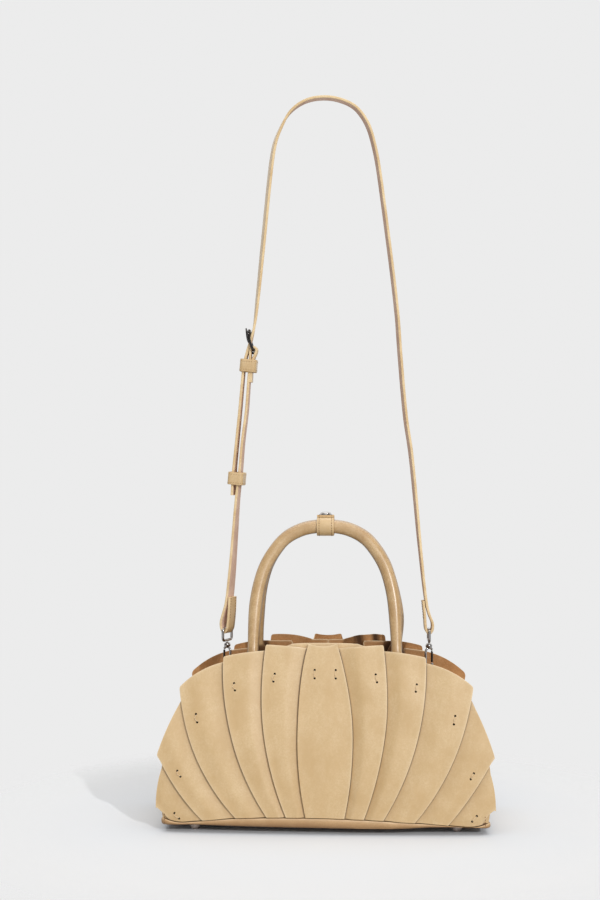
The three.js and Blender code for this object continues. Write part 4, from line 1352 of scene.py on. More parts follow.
def wrap_path():
    """Once round both handles and over itself on top."""
    reach = handle_radius + wrap_clearance + wrap_leather / 2
    lap_rise = wrap_leather + touch_gap
    flat_half = handle_apex_y
    points = []

    def place(y, z):
        points.append(Vector((handle_shift, y, handle_apex_z + z)))

    def turn(centre, start, end, steps):
        for cosine, sine in arc(start, end, steps):
            place(centre + reach * cosine, reach * sine)

    place(0.5 * flat_half, reach)
    turn(-flat_half, math.pi / 2, 3 * math.pi / 2, 20)
    turn(flat_half, -math.pi / 2, math.pi * 0.3, 18)
    place(flat_half + 0.5 * reach, reach * 0.98)
    place(flat_half + 0.2 * reach, reach + 0.9 * lap_rise)
    place(0.3 * flat_half, reach + lap_rise)
    place(-0.9 * flat_half, reach + lap_rise)
    return points


band_rounding = 0.55


def leather_band(name, path, width, thickness, width_at, materials, loops=False):
    """A sewn leather band: its outer face, its inner face and its painted edges have own materials."""
    section = band_section(width, thickness, band_rounding)
    count = len(section)
    quarter = count // 4

    def slot_at(i, j):
        if j < 0:
            return 2
        if j == quarter - 1:
            return 0
        if j == 3 * quarter - 1:
            return 1
        return 2

    points, faces, slots = loft(band_rings(path, section, width_at, loops), loops, slot_at)
    return mesh_object(name, points, faces, materials, slots, None, sheet_sharp)


def sewn_band(node, path, width, thickness, width_at, loops=False):
    """A band that stands for a node of the frame."""
    made = leather_band("fine_" + node, path, width, thickness, width_at, sheet_faces, loops)
    settle(made, "tan_leather", node)


sewn_band("handle_wrap", wrap_path(), wrap_width, wrap_leather, lambda i: Vector((1, 0, 0)))


def wrap_snap():
    profile = [(0.2, 0), (snap_radius, 0), (snap_radius, 0.25 * snap_height)]
    for cosine, sine in arc(0, math.pi / 2, 8):
        profile.append((snap_radius * (0.2 + 0.72 * cosine), snap_height * (0.35 + 0.65 * sine)))
    base_z = handle_apex_z + handle_radius + wrap_clearance + 2 * wrap_leather + 2 * touch_gap
    turned_piece("wrap_snap", profile, 36, Vector((handle_shift, 0, base_z)), "silver")


wrap_snap()


# Shoulder strap: rows as in the frame, as (across, up, twist) with shares of its spread and height.
arch_rows = [
    (0.896, 0.1257, 7),
    (0.862, 0.2012, 9),
    (0.812, 0.3008, 10),
    (0.765, 0.3649, 10),
    (0.713, 0.4817, 10),
    (0.677, 0.5799, 10),
    (0.62, 0.6782, 10),
    (0.556, 0.7764, 10),
    (0.493, 0.8704, 10),
    (0.449, 0.9103, 10),
    (0.403, 0.9416, 10),
    (0.325, 0.9672, 8),
    (0.245, 0.9829, 6),
    (0.09, 0.995, 4),
    (-0.037, 0.9976, 2),
    (-0.18, 0.9936, 4),
    (-0.295, 0.9815, 6),
    (-0.382, 0.9644, 9),
    (-0.444, 0.9402, 12),
    (-0.499, 0.9146, 14),
    (-0.534, 0.879, 15),
    (-0.579, 0.795, 15),
    (-0.628, 0.6939, 15),
    (-0.678, 0.5935, 12),
]
buckle_rows = [
    (0.011, 1.13, 5),
    (-0.14, 0.485, 0),
    (-0.308, -0.071, 0),
    (-0.457, -0.699, -1),
]
free_end_rows = [
    (-0.823, 0.4261, -2),
    (-0.842, 0.382, -3),
    (-0.879, 0.3051, -5),
    (-0.9, 0.2595, -7),
    (-0.912, 0.214, -8),
]
short_strap_rows = [
    (-0.926, 0.0545, -20),
    (-0.9, 0.1228, -15),
    (-0.866, 0.214, -9),
    (-0.84, 0.2595, -7),
    (-0.815, 0.3194, -5),
    (-0.777, 0.382, -3),
    (-0.757, 0.439, -2),
]
# Folds round the eye rings, from the free end: (millimetres towards the bag's middle, share up).
fold_rows = {
    "left": [
        (5.3, 1.24),
        (5.0, 0.95),
        (4.7, 0.72),
        (4.2, 0.5),
        (3.6, 0.3),
        (2.5, 0.1),
        (0, 0),
        (-2.6, 0.1),
        (-3.5, 0.33),
        (-1.4, 0.64),
        (1.5, 1),
    ],
    "right": [
        (5.3, 1.13),
        (4.9, 0.95),
        (4.2, 0.72),
        (3.8, 0.5),
        (3.5, 0.3),
        (2.6, 0.1),
        (0, 0),
        (-2.6, 0.1),
        (-3.1, 0.33),
        (-0.2, 0.64),
        (2.2, 1),
    ],
}


def height_at(share):
    return lerp(fold_top_z, strap_height, share)


bar_x = buckle_bar_across * strap_spread
bar_z = height_at(buckle_bar_up)
lean_angle = math.radians(buckle_lean)
buckle_top_x = bar_x - buckle_height * math.sin(lean_angle)
buckle_top_z = bar_z + buckle_height * math.cos(lean_angle)


def row_station(row):
    across, up, twist = row
    return Vector((across * strap_spread, 0, height_at(up))), twist


def buckle_station(row):
    across, up, twist = row
    return Vector((bar_x + across * buckle_height, 0, bar_z + up * buckle_height)), twist


def fold_station(row, end_name):
    inward, up = row
    twist = ring_twist[end_name]
    offset = -math.copysign(inward, ring_x[end_name] * inward)
    angle = math.radians(twist)
    x = ring_x[end_name] + offset * math.cos(angle)
    return Vector((x, offset * math.sin(angle), fold_bottom_z + up * fold_height)), twist


def calmed(path, low_z, passes=10):
    """The path with its small kinks eased where it runs above a height."""
    for _ in range(passes):
        eased = list(path)
        for i in range(1, len(path) - 1):
            if path[i].z > low_z:
                eased[i] = (path[i - 1] + path[i] * 2 + path[i + 1]) / 4
        path = eased
    return path


def strap_line(stations, steps):
    """The strap's middle line and the direction across it at each of the line's points."""
    path = calmed(smooth_path([point for point, _ in stations], steps), buckle_top_z + buckle_height)
    across = []
    for i in range(len(path)):
        start = min(i // steps, len(stations) - 2)
        share = i / steps - start
        angle = math.radians(lerp(stations[start][1], stations[start + 1][1], share))
        across.append(Vector((math.sin(angle), -math.cos(angle), 0)))
    return path, across


strap_steps = 6


def strap_band(name, stations, materials):
    path, across = strap_line(stations, strap_steps)
    made = leather_band(name, path, strap_width, strap_leather, lambda i: across[i], materials)
    return made, path, across


long_stations = [fold_station(row, "right") for row in fold_rows["right"]]
long_stations += [row_station(row) for row in arch_rows]
long_stations += [buckle_station(row) for row in buckle_rows]
long_stations += [row_station(row) for row in free_end_rows]


def short_strap_stations():
    turn_radius = buckle_wire / 2 + touch_gap + strap_leather / 2
    lead = 0.027 * buckle_height
    stations = [fold_station(row, "left") for row in fold_rows["left"]]
    stations += [row_station(row) for row in short_strap_rows]
    stations.append((Vector((bar_x - turn_radius - lead, 0, bar_z - 0.6 * buckle_height)), 0))
    for degrees in (180, 135, 90, 45, 0):
        angle = math.radians(degrees)
        x = bar_x + turn_radius * math.cos(angle)
        stations.append((Vector((x, 0, bar_z + turn_radius * math.sin(angle))), 0))
    beside_x = row_station(short_strap_rows[-1])[0].x + strap_leather + touch_gap
    for across, down, twist in ((0.03, 0.6, 0), (-0.01, 1.09, -1), (-0.04, 1.58, -2)):
        spot = Vector((beside_x + across * buckle_height, 0, bar_z - down * buckle_height))
        stations.append((spot, twist))
    return stations


long_faces = ["tan", "underside", "strap_edge"]
short_faces = ["underside", "tan", "strap_edge"]
strap_long, long_path, long_across = strap_band("fine_strap_long", long_stations, long_faces)
strap_short, short_path, short_across = strap_band("fine_strap_short", short_strap_stations(), short_faces)


def cut_box(size, centre, faces):
    """A box-shaped cutter whose walls read as cut leather."""
    half = Vector(size) / 2
    corners = []
    for k in range(8):
        signs = (1 if k & 1 else -1, 1 if k & 2 else -1, 1 if k & 4 else -1)
        corners.append(centre + Vector(sign * reach for sign, reach in zip(signs, half)))
    quads = [(0, 2, 3, 1), (4, 5, 7, 6), (0, 1, 5, 4), (2, 6, 7, 3), (0, 4, 6, 2), (1, 3, 7, 5)]
    return mesh_object("cutter", corners, quads, faces, [2] * len(quads))


def cut_pin(radius, length, centre, faces):
    """A round cutter lying along X."""
    ends = [centre + Vector((sign * length / 2, 0, 0)) for sign in (-1, 1)]
    points, sides, slots = loft(tube_rings(ends, radius, 24, Vector((0, 0, 1))))
    return mesh_object("cutter", points, sides, faces, [2] * len(slots))


def hole_places():
    """Places of the punched holes along the strap's free end, at an even pitch from the buckle."""
    start = (len(long_stations) - len(free_end_rows) - 1) * strap_steps
    tail = long_path[start:]
    lengths = [(b - a).length for a, b in zip(tail, tail[1:])]
    places = []
    due = strap_hole_pitch
    along = 0
    for point, following, length in zip(tail, tail[1:], lengths):
        while along + length >= due and due < sum(lengths) - strap_hole_pitch / 2:
            places.append(point.lerp(following, (due - along) / length))
            due += strap_hole_pitch
        along += length
    return places


cut_reach = 12
long_slot = Vector((bar_x - 0.196 * buckle_height, 0, bar_z + 0.38 * buckle_height))
long_cuts = [cut_pin(strap_hole_radius, cut_reach, place, long_faces) for place in hole_places()]
long_cuts.append(cut_box((cut_reach, 2 * strap_hole_radius, 13.5), long_slot, long_faces))
short_cut = cut_box((cut_reach, prong_wire + 1.7, 13), Vector((bar_x, 0, bar_z)), short_faces)
strap_long = carve(strap_long, long_cuts)
strap_short = carve(strap_short, [short_cut])
settle(strap_long, "tan_leather", "strap_long")
settle(strap_short, "tan_leather", "strap_short")


def rounded_loop(centre, first, second, half_first, half_second, corner, steps):
    """A closed rounded rectangle in the plane of two directions."""
    points = []
    for quarter in range(4):
        sign_first = 1 if quarter in (0, 3) else -1
        sign_second = 1 if quarter < 2 else -1
        for k in range(steps + 1):
            angle = math.pi / 2 * (quarter + k / steps)
            a = sign_first * (half_first - corner) + corner * math.cos(angle)
            b = sign_second * (half_second - corner) + corner * math.sin(angle)
            points.append(centre + first * a + second * b)
    return points


def filled_loop(points, spacing):
    """The same loop with its long sides cut into short steps."""
    path = []
    for k, point in enumerate(points):
        following = points[(k + 1) % len(points)]
        steps = max(1, round((following - point).length / spacing))
        for step in range(steps):
            path.append(point.lerp(following, step / steps))
    return path


def buckle_frame():
    bar = Vector((bar_x, 0, bar_z))
    top = Vector((buckle_top_x, 0, buckle_top_z))
    centre = bar.lerp(top, 0.5)
    up = top - bar
    half_height = up.length / 2
    up.normalize()
    depth = Vector((0, 1, 0))
    path = filled_loop(rounded_loop(centre, depth, up, buckle_half_width, half_height, 4, 8), 1.2)
    for point in path:
        share = (point - centre).dot(up) / half_height
        point.x -= buckle_bow * (1 - share ** 2)
    wire_piece("buckle_frame", path, buckle_wire / 2, 16, depth.cross(up), "dark_metal", True)


def buckle_prong():
    eye_radius = (buckle_wire + prong_wire) / 2 + touch_gap
    points = []
    for degrees in (80, 30, -20, -70, -120, -165):
        angle = math.radians(degrees)
        x = bar_x + eye_radius * math.cos(angle)
        points.append(Vector((x, 0, bar_z + eye_radius * math.sin(angle))))
    clear = (buckle_wire + prong_wire) / 2 + touch_gap + 0.01 * buckle_height
    for x, z in (
        (bar_x - eye_radius - 0.04 * buckle_height, bar_z + 0.25 * buckle_height),
        (buckle_top_x - 0.09 * buckle_height, buckle_top_z - 0.43 * buckle_height),
        (buckle_top_x - clear, buckle_top_z - 0.05 * buckle_height),
        (buckle_top_x - clear - 0.03 * buckle_height, buckle_top_z + 0.13 * buckle_height),
    ):
        points.append(Vector((x, 0, z)))

    def taper(share):
        return prong_wire / 2 * (1 - 0.35 * smooth((share - 0.85) / 0.15))

    wire_piece("buckle_prong", smooth_path(points, 6), taper, wire_sides, Vector((0, 1, 0)), "dark_metal")


buckle_frame()
buckle_prong()


def strap_x_at(stations, z):
    spots = sorted((point for point, _ in stations), key=lambda point: point.z)
    above = next(k for k, spot in enumerate(spots) if spot.z > z)
    low = spots[above - 1]
    high = spots[above]
    return lerp(low.x, high.x, (z - low.z) / (high.z - low.z))


def keeper(node, low_x, high_x, z, lean, twist):
    """A sewn loop round the layers of the strap; returns its stitch lines too."""
    half_wide = (high_x - low_x) / 2 + keeper_slack
    half_deep = strap_width / 2 + keeper_slack
    half_skin = keeper_leather / 2
    turn = Matrix.Rotation(math.radians(twist), 4, "Z") @ Matrix.Rotation(math.radians(lean), 4, "Y")
    place = Matrix.Translation(Vector(((low_x + high_x) / 2, 0, z))) @ turn
    up = (turn @ Vector((0, 0, 1))).normalized()

    def loop_at(off, height):
        centre = Vector((0, 0, height))
        flat = rounded_loop(
            centre, Vector((1, 0, 0)), Vector((0, 1, 0)), half_wide + off, half_deep + off, 1.2 + off, 6
        )
        return [place @ point for point in filled_loop(flat, 1.5)]

    sewn_band(node, loop_at(half_skin, 0), keeper_height, keeper_leather, lambda i: up, True)
    edge_inset = 1.9
    return [loop_at(keeper_leather, sign * (keeper_height / 2 - edge_inset)) for sign in (-1, 1)]


free_stations = [buckle_station(row) for row in buckle_rows] + [row_station(row) for row in free_end_rows]
short_stations = [row_station(row) for row in short_strap_rows]
upper_keeper_z = bar_z - 0.76 * buckle_height
lower_keeper_z = height_at(lower_keeper_up)
tail_bulge = 0.05 * buckle_height
upper_high_x = short_stations[-1][0].x + 1.5 * strap_leather + touch_gap + tail_bulge
upper_low_x = strap_x_at(free_stations, upper_keeper_z) - strap_leather / 2
lower_slack = strap_leather / 2 + keeper_slack
lower_low_x = strap_x_at(free_stations, lower_keeper_z) - lower_slack
lower_high_x = strap_x_at(short_stations, lower_keeper_z) + lower_slack
keeper_lines = keeper("keeper_upper", upper_low_x, upper_high_x, upper_keeper_z, 5, -1)
keeper_lines += keeper("keeper_lower", lower_low_x, lower_high_x, lower_keeper_z, 5, -7)


# Rings, snap hooks with their gates, D-rings and tabs at each end of the strap.

def turned(degrees):
    angle = math.radians(degrees)
    return Vector((math.cos(angle), math.sin(angle), 0))


def eye_ring(end_name):
    centre = Vector((ring_x[end_name], 0, (ring_top_z + ring_bottom_z) / 2))
    face = turned(ring_twist[end_name])
    across = Vector((-face.y, face.x, 0))
    up = Vector((0, 0, 1))
    path = filled_loop(rounded_loop(centre, across, up, ring_half_width, ring_height / 2, 2.6, 8), 1)
    wire_piece(f"ring_{end_name}", path, ring_wire / 2, wire_sides, face, "silver", True)


hook_rows = [
    (1, 0.09),
    (0.62, 0.01),
    (0, -0.02),
    (-0.62, 0.03),
    (-1, 0.16),
    (-1.02, 0.5),
    (-1, 0.78),
    (-0.72, 0.94),
    (0, 1),
    (0.72, 0.94),
    (1, 0.82),
    (1.02, 0.72),
]
gate_pivot_down = 0.18
gate_tip_down = 0.69


def hook_place(end_name, direction, across, down):
    point = Vector((ring_x[end_name], 0, hook_top_z - down * hook_height))
    return point + direction * (across * hook_half_width)


def snap_hook(end_name, direction):
    points = [hook_place(end_name, direction, across, down) for across, down in hook_rows]
    square = Vector((-direction.y, direction.x, 0))
    rings = tube_rings(smooth_path(points, 6), hook_wire / 2, wire_sides, square)
    wire = solid_from_rings(f"fine_hook_{end_name}", rings, "silver")
    pole = 0.08
    turns = arc(pole, math.pi - pole, 14)
    profile = [(ball_radius * sine, -ball_radius * cosine) for cosine, sine in turns]
    ball_place = Vector((ring_x[end_name], 0, ball_z))
    ball = solid_from_rings("ball", lathe_rings(profile, 24, ball_place), "silver")
    made = carve(wire, [ball], "UNION")
    settle(made, "bright_metal", f"hook_{end_name}")


def hook_gate(end_name, direction):
    pivot = hook_place(end_name, direction, 1.01, gate_pivot_down)
    tip = hook_place(end_name, direction, 1.01, gate_tip_down)
    round_end = 0.42 * gate_wire
    start = pivot + Vector((0, 0, round_end))
    steps = 24
    path = [start.lerp(tip, k / steps) for k in range(steps + 1)]

    def reach(share):
        ends = min(share, 1 - share)
        return gate_wire / 2 * (0.45 + 0.55 * smooth(ends / 0.06))

    square = Vector((-direction.y, direction.x, 0))
    node = f"gate_{end_name}"
    wire_piece(node, path, reach, wire_sides, square, "dark_metal", body=node)


tab_offset = leather / 2 + 0.5 + tab_leather / 2


def tab_turn_centre():
    return gusset_skin(1, 0, 0) + gusset_tangent(1) * 3


def d_ring(end_name):
    side = math.copysign(1, ring_x[end_name])
    bar = tab_turn_centre()
    low = Vector((side * bar.x, 0, bar.y))
    hold_z = hook_bottom_z + hook_wire / 2 + touch_gap + d_ring_wire / 2
    high = Vector((ring_x[end_name], 0, hold_z))
    up = high - low
    height = up.length
    up.normalize()
    depth = Vector((0, 1, 0))
    path = []

    def place(across, along):
        path.append(low + depth * across + up * along)

    corner_share = 0.14
    place(-0.85 * d_ring_half_width, 0)
    place(0.85 * d_ring_half_width, 0)
    place(d_ring_half_width, corner_share * height)
    for cosine, sine in arc(0, math.pi, 10):
        place(d_ring_half_width * cosine, (0.42 + 0.58 * sine) * height)
    place(-d_ring_half_width, corner_share * height)
    loop = filled_loop(path, 0.8)
    for _ in range(2):
        count = len(loop)
        loop = [(loop[k - 1] + loop[k] * 2 + loop[(k + 1) % count]) / 4 for k in range(count)]
    wire_piece(f"d_ring_{end_name}", loop, d_ring_wire / 2, wire_sides, depth.cross(up), "silver", True)


def d_ring_tab(end_name):
    side = math.copysign(1, ring_x[end_name])
    length_share = tab_length / (2 * gusset_share_length)
    layers = 8
    path = []

    def push(flat):
        path.append(Vector((side * flat.x, 0, flat.y)))

    for k in range(layers):
        push(gusset_skin(1 - length_share * (1 - k / layers), 0, -tab_offset))
    centre = tab_turn_centre()
    tangent = gusset_tangent(1)
    for cosine, sine in arc(-math.pi / 2, math.pi / 2, 12):
        point = centre + tangent * (tab_offset * cosine)
        push(point + Vector((tangent.y, -tangent.x)) * (tab_offset * sine))
    for k in range(layers - 1, -1, -1):
        push(gusset_skin(1 - length_share * (1 - k / layers), 0, tab_offset))
    sewn_band(f"d_ring_tab_{end_name}", path, tab_width, tab_leather, lambda i: Vector((0, 1, 0)))


for end_name, hook_direction in (("left", turned(180 - hook_turn)), ("right", turned(hook_turn))):
    eye_ring(end_name)
    snap_hook(end_name, hook_direction)
    hook_gate(end_name, hook_direction)
    d_ring(end_name)
    d_ring_tab(end_name)


# Stitches and staples: lines are laid as edges, and Geometry Nodes set the thread along them.

def tree_with(name, inputs):
    tree = bpy.data.node_groups.new(name, "GeometryNodeTree")
    tree.interface.new_socket("Geometry", in_out="INPUT", socket_type="NodeSocketGeometry")
    for label, kind, value in inputs:
        socket = tree.interface.new_socket(label, in_out="INPUT", socket_type=kind)
        if value is not None:
            socket.default_value = value
    tree.interface.new_socket("Geometry", in_out="OUTPUT", socket_type="NodeSocketGeometry")
    return tree, tree.nodes.new("NodeGroupInput"), tree.nodes.new("NodeGroupOutput")


def ball_tree(name, inputs, place, segments, length_input, length_share):
    """Balls on points, round across and drawn out or flattened along each point's direction."""
    tree, source, sink = tree_with(name, inputs)
    join = tree.links.new
    points, direction = place(tree, source)
    align = tree.nodes.new("FunctionNodeAlignRotationToVector")
    align.axis = "Z"
    join(direction, align.inputs["Vector"])
    shape = tree.nodes.new("GeometryNodeMeshUVSphere")
    for label, value in (("Segments", segments), ("Rings", 6), ("Radius", 1.0)):
        shape.inputs[label].default_value = value
    along = tree.nodes.new("ShaderNodeMath")
    along.operation = "MULTIPLY"
    along.inputs[1].default_value = length_share
    join(source.outputs[length_input], along.inputs[0])
    size = tree.nodes.new("ShaderNodeCombineXYZ")
    join(source.outputs["Radius"], size.inputs["X"])
    join(source.outputs["Radius"], size.inputs["Y"])
    join(along.outputs[0], size.inputs["Z"])
    scatter = tree.nodes.new("GeometryNodeInstanceOnPoints")
    join(points, scatter.inputs["Points"])
    join(shape.outputs["Mesh"], scatter.inputs["Instance"])
    join(align.outputs["Rotation"], scatter.inputs["Rotation"])
    join(size.outputs["Vector"], scatter.inputs["Scale"])
    real = tree.nodes.new("GeometryNodeRealizeInstances")
    join(scatter.outputs["Instances"], real.inputs["Geometry"])
    paint = tree.nodes.new("GeometryNodeSetMaterial")
    join(real.outputs["Geometry"], paint.inputs["Geometry"])
    join(source.outputs["Finish"], paint.inputs["Material"])
    join(paint.outputs["Geometry"], sink.inputs["Geometry"])
    return tree


def along_lines(tree, source):
    """Points at an even pitch along each line, with the line's direction there."""
    curve = tree.nodes.new("GeometryNodeMeshToCurve")
    tree.links.new(source.outputs["Geometry"], curve.inputs["Mesh"])
    even = tree.nodes.new("GeometryNodeResampleCurve")
    even.mode = "LENGTH"
    tree.links.new(curve.outputs["Curve"], even.inputs["Curve"])
    tree.links.new(source.outputs["Pitch"], even.inputs["Length"])
    tangent = tree.nodes.new("GeometryNodeInputTangent")
    return even.outputs["Curve"], tangent.outputs["Tangent"]


def on_marks(tree, source):
    """The mesh's own points, with the direction that each keeps."""
    facing = tree.nodes.new("GeometryNodeInputNamedAttribute")
    facing.data_type = "FLOAT_VECTOR"
    facing.inputs["Name"].default_value = "facing"
    return source.outputs["Geometry"], facing.outputs["Attribute"]


stitch_inputs = [
    ("Pitch", "NodeSocketFloat", 0.003),
    ("Stitch Length", "NodeSocketFloat", 0.0021),
    ("Radius", "NodeSocketFloat", 0.0003),
    ("Finish", "NodeSocketMaterial", None),
]
hole_inputs = [("Radius", "NodeSocketFloat", 0.0008), ("Finish", "NodeSocketMaterial", None)]
trees = {
    "stitches": ball_tree("sewn_line", stitch_inputs, along_lines, 8, "Stitch Length", 0.5),
    "holes": ball_tree("punched_marks", hole_inputs, on_marks, 12, "Radius", 0.16),
}


def through_tree(name, mesh, tree_name, slot, **inputs):
    """Runs a mesh through a tree and keeps the plain result as a piece."""
    source = new_object(name + "_lines", mesh)
    step = source.modifiers.new(tree_name, "NODES")
    step.node_group = trees[tree_name]
    for item in trees[tree_name].interface.items_tree:
        label = item.name.replace(" ", "_")
        if item.in_out == "INPUT" and label in inputs:
            step[item.identifier] = inputs[label]
    made = baked(source, name)
    made.data.shade_smooth()
    settle(made, slot)


def lines_mesh(name, lines, closed=False):
    points = []
    edges = []
    for line in lines:
        start = len(points)
        points += [point * MM for point in line]
        edges += [(k, k + 1) for k in range(start, len(points) - 1)]
        if closed:
            edges.append((len(points) - 1, start))
    mesh = bpy.data.meshes.new(name)
    mesh.from_pydata(points, edges, [])
    return mesh


def stitch(name, lines, pitch, length, radius, thread, closed=False):
    through_tree(
        name, lines_mesh(name, lines, closed), "stitches", "tan_leather",
        Pitch=pitch * MM, Stitch_Length=length * MM, Radius=radius * MM, Finish=looks[thread],
    )


def offset_line(path, across, start, end, side_share, off):
    """A line on a strap's face: side_share runs from -1 to 1 across it, off is out from its middle."""
    line = []
    for i in range(start, end):
        along = tangent_at(path, i)
        wide = square_to(along, across[i])
        normal = along.cross(wide)
        line.append(path[i] + wide * (side_share * strap_width / 2) + normal * off)
    return line


strap_sewing = {"pitch": 2.3, "length": 1.6, "radius": 0.26}
stitch("keeper_stitches", keeper_lines, **strap_sewing, thread="thread", closed=True)

fold_stitches = []
for strap_path, strap_across, off in ((long_path, long_across, 1), (short_path, short_across, -1)):
    for side_share in (-0.7, 0.7):
        face = off * strap_leather / 2
        fold_stitches.append(offset_line(strap_path, strap_across, 1, 3 * strap_steps, side_share, face))
stitch("fold_stitches", fold_stitches, **strap_sewing, thread="brown_thread")

wrap_line = wrap_path()
wrap_edge_inset = 2.1
wrap_edges = []
for edge_side in (-1, 1):
    sideways = Vector((edge_side * (wrap_width / 2 - wrap_edge_inset), 0, 0))
    line = []
    for i, spot in enumerate(wrap_line):
        normal = tangent_at(wrap_line, i).cross(Vector((1, 0, 0)))
        line.append(spot + sideways + normal * (wrap_leather / 2))
    wrap_edges.append(line)
stitch("wrap_stitches", wrap_edges, 2.4, 1.7, 0.28, "brown_thread")


# Staples: two punched holes on each strip, drawn as flat marks of painted shade, with a loop of thread
# between them. Columns are the strip's place in the fan, then the upper and lower hole as (x, z).
staple_rows = [
    (0, (9.3, 143.0), (9.3, 136.0)),
    (1, (44.5, 139.5), (45.6, 133.0)),
    (2, (80.5, 131.0), (79.6, 125.0)),
    (3, (114.0, 104.0), (112.8, 97.0)),
    (4, (130.0, 54.6), (127.3, 49.7)),
    (5, (132.6, 17.2), (128.6, 12.5)),
]

# How far each half's threads bow across, the punched holes' radius, and how far outside the strips
# the search for their faces starts.
thread_bow = {None: -0.7, "left": -1.5, "right": -0.5}
hole_radius = 1.05
search_reach = 150


def staples(face, side):
    graph = bpy.context.evaluated_depsgraph_get()
    threads = []
    spots = []
    facings = []
    for index, upper, lower in staple_rows:
        for mirror in (-1, 1):
            half = None if index == 0 else ("left" if mirror < 0 else "right")
            tree = BVHTree.FromObject(strips[face, index, half], graph)
            ends = []
            for x, z in (upper, lower):
                start = Vector((mirror * x, side * search_reach, z)) * MM
                hit, normal, _, _ = tree.ray_cast(start, Vector((0, -side, 0)))
                ends.append((hit / MM, normal))
                spots.append(hit)
                facings.append(normal)
            (top, out), (bottom, _) = ends
            steps = 6
            line = []
            for k in range(steps + 1):
                share = k / steps
                swell = math.sin(math.pi * share)
                bow = out * (0.2 + 0.5 * swell) + Vector((thread_bow[half] * swell, 0, 0))
                line.append(top.lerp(bottom, lerp(0.16, 0.84, share)) + bow)
            threads.append(line)
    mesh = bpy.data.meshes.new("hole_spots")
    mesh.from_pydata(spots, [], [])
    layer = mesh.attributes.new("facing", "FLOAT_VECTOR", "POINT")
    layer.data.foreach_set("vector", [value for normal in facings for value in normal])
    through_tree(
        f"{face}_staple_holes", mesh, "holes", "dark_metal", Radius=hole_radius * MM, Finish=looks["hole"]
    )
    stitch(f"{face}_staple_threads", threads, 1.05, 1.6, 0.42, "pale_thread")


corner_stitch_heights = (9.6, 11.4, 13.2, 15.0, 16.4)
corner_stitch_reach = strip_step + leather + 1.0
corner_stitches = []
for corner_x in (-141.2, 139.8):
    line = []
    for z in corner_stitch_heights:
        line.append(Vector((corner_x, -(plain_half_depth(corner_x, z) + corner_stitch_reach), z)))
    corner_stitches.append(line)
stitch("corner_stitches", corner_stitches, 2.0, 1.5, 0.34, "brown_thread")

bpy.context.view_layer.update()
staples("front", -1)
staples("back", 1)


# Studio: a pale floor that fades into an even backdrop, a soft key from the front right, and a fill.

# Distances in metres: the floor's reach, where it fades out, and where its tone changes.
floor_reach = 4.0
floor_fade = (0.25, 0.38)
floor_tone_change = (0.1, 0.3)
# Near the bag the floor is painted a little cooler, which cancels the warm light the bag throws on it.
floor_near = (0.84, 0.872, 0.912, 1)
floor_far = (0.875, 0.88, 0.885, 1)
floor_bounce = (0.58, 0.58, 0.58, 1)
backdrop = (0.838, 0.838, 0.838, 1)


def studio_floor():
    """The floor, which fades out for the camera alone and gives back less light than it shows."""
    mesh = bpy.data.meshes.new("floor")
    corners = [(x * floor_reach, y * floor_reach, 0) for x, y in ((-1, -1), (1, -1), (1, 1), (-1, 1))]
    mesh.from_pydata(corners, [], [(0, 1, 2, 3)])
    material, wiring, shader = new_material("floor_paint")
    place = wiring.node("ShaderNodeTexCoord").outputs["Object"]
    away = wiring.node("ShaderNodeVectorMath", {"operation": "LENGTH"})
    wiring.feed(away.inputs[0], place)
    shown = wiring.spread(away.outputs["Value"], *floor_fade, 1.0, 0.0)
    far_share = wiring.spread(away.outputs["Value"], *floor_tone_change)
    paint = wiring.tint(far_share, floor_near, floor_far)
    path = wiring.node("ShaderNodeLightPath")
    seen = wiring.tint(path.outputs["Is Camera Ray"], floor_bounce, paint)
    wiring.feed(shader.inputs["Base Color"], seen)
    shader.inputs["Roughness"].default_value = 0.85
    shader.inputs["Specular IOR Level"].default_value = 0.1
    for_light = wiring.math("SUBTRACT", 1.0, path.outputs["Is Camera Ray"])
    wiring.feed(shader.inputs["Alpha"], wiring.math("MAXIMUM", shown, for_light))
    mesh.materials.append(material)
    floor = new_object("floor", mesh)


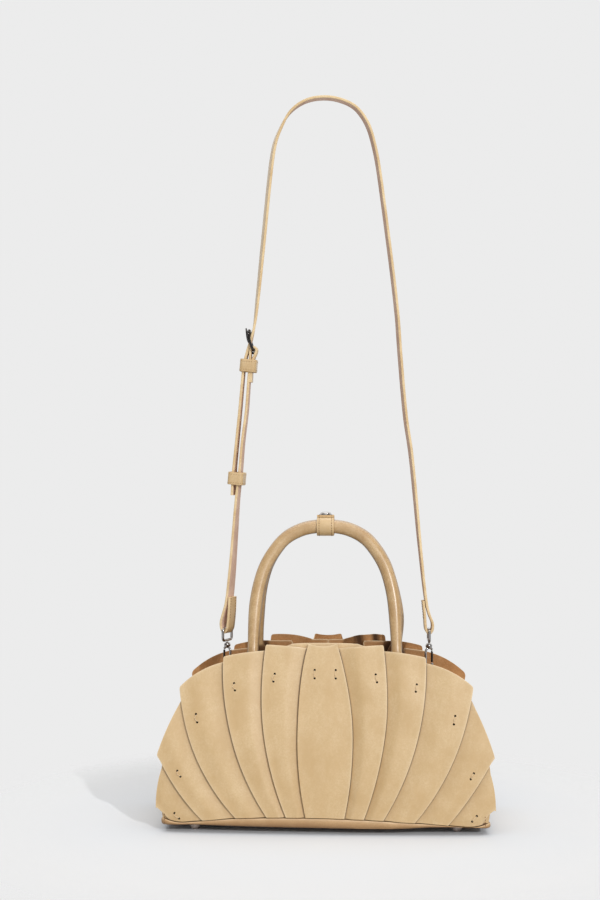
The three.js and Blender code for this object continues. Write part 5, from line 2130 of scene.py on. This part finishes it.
def far_light(name, towards, spread, power):
    """Even light from one direction, so that the floor has no pool of light; spread in degrees."""
    data = bpy.data.lights.new(name, "SUN")
    data.angle = math.radians(spread)
    data.energy = power
    light = new_object(name, data)
    light.rotation_euler = (-Vector(towards)).to_track_quat("-Z", "Y").to_euler()


def studio_world():
    """An even backdrop; the metal mirrors a dark front and a bright back, and the rest gets a soft fill."""
    world = bpy.data.worlds.new("studio")
    bpy.context.scene.world = world
    world.use_nodes = True
    tree = world.node_tree
    wiring = Wiring(tree)
    tree.nodes.clear()
    out = tree.nodes.new("ShaderNodeOutputWorld")
    path = tree.nodes.new("ShaderNodeLightPath")
    place = tree.nodes.new("ShaderNodeTexCoord").outputs["Generated"]
    parts = wiring.node("ShaderNodeSeparateXYZ", None, Vector=place)
    ahead = wiring.spread(parts.outputs["Y"], -0.25, 0.5, 0.05, 1.15)
    above = wiring.spread(parts.outputs["Z"], -0.2, 0.75, 0.55, 1.15)
    mirror_light = wiring.times(ahead, above)
    soft_light = wiring.spread(parts.outputs["Y"], -1.0, 1.0, 0.44, 0.3)
    fill = wiring.tint(path.outputs["Is Glossy Ray"], soft_light, mirror_light)
    colour = wiring.tint(path.outputs["Is Camera Ray"], fill, backdrop)
    glow = tree.nodes.new("ShaderNodeBackground")
    wiring.feed(glow.inputs["Color"], colour)
    tree.links.new(glow.outputs["Background"], out.inputs["Surface"])


studio_floor()
studio_world()
far_light("key", (0.47, -0.81, 0.42), 1.2, 1.1)
far_light("front", (0.15, -1.0, 0.4), 60, 0.55)
far_light("top", (0.0, -0.1, 1.0), 70, 1.25)
bpy.context.scene.view_settings.view_transform = "Standard"


def photo_camera():
    data = bpy.data.cameras.new("camera")
    data.sensor_width = sensor_size
    data.lens = focal_pixels / photo_height * sensor_size
    data.clip_start = 0.05
    data.clip_end = 50
    camera = new_object("camera", data)
    camera.location = camera_place * MM
    camera.rotation_euler = (math.pi / 2, 0, math.radians(camera_turn))
    bpy.context.scene.camera = camera


photo_camera()
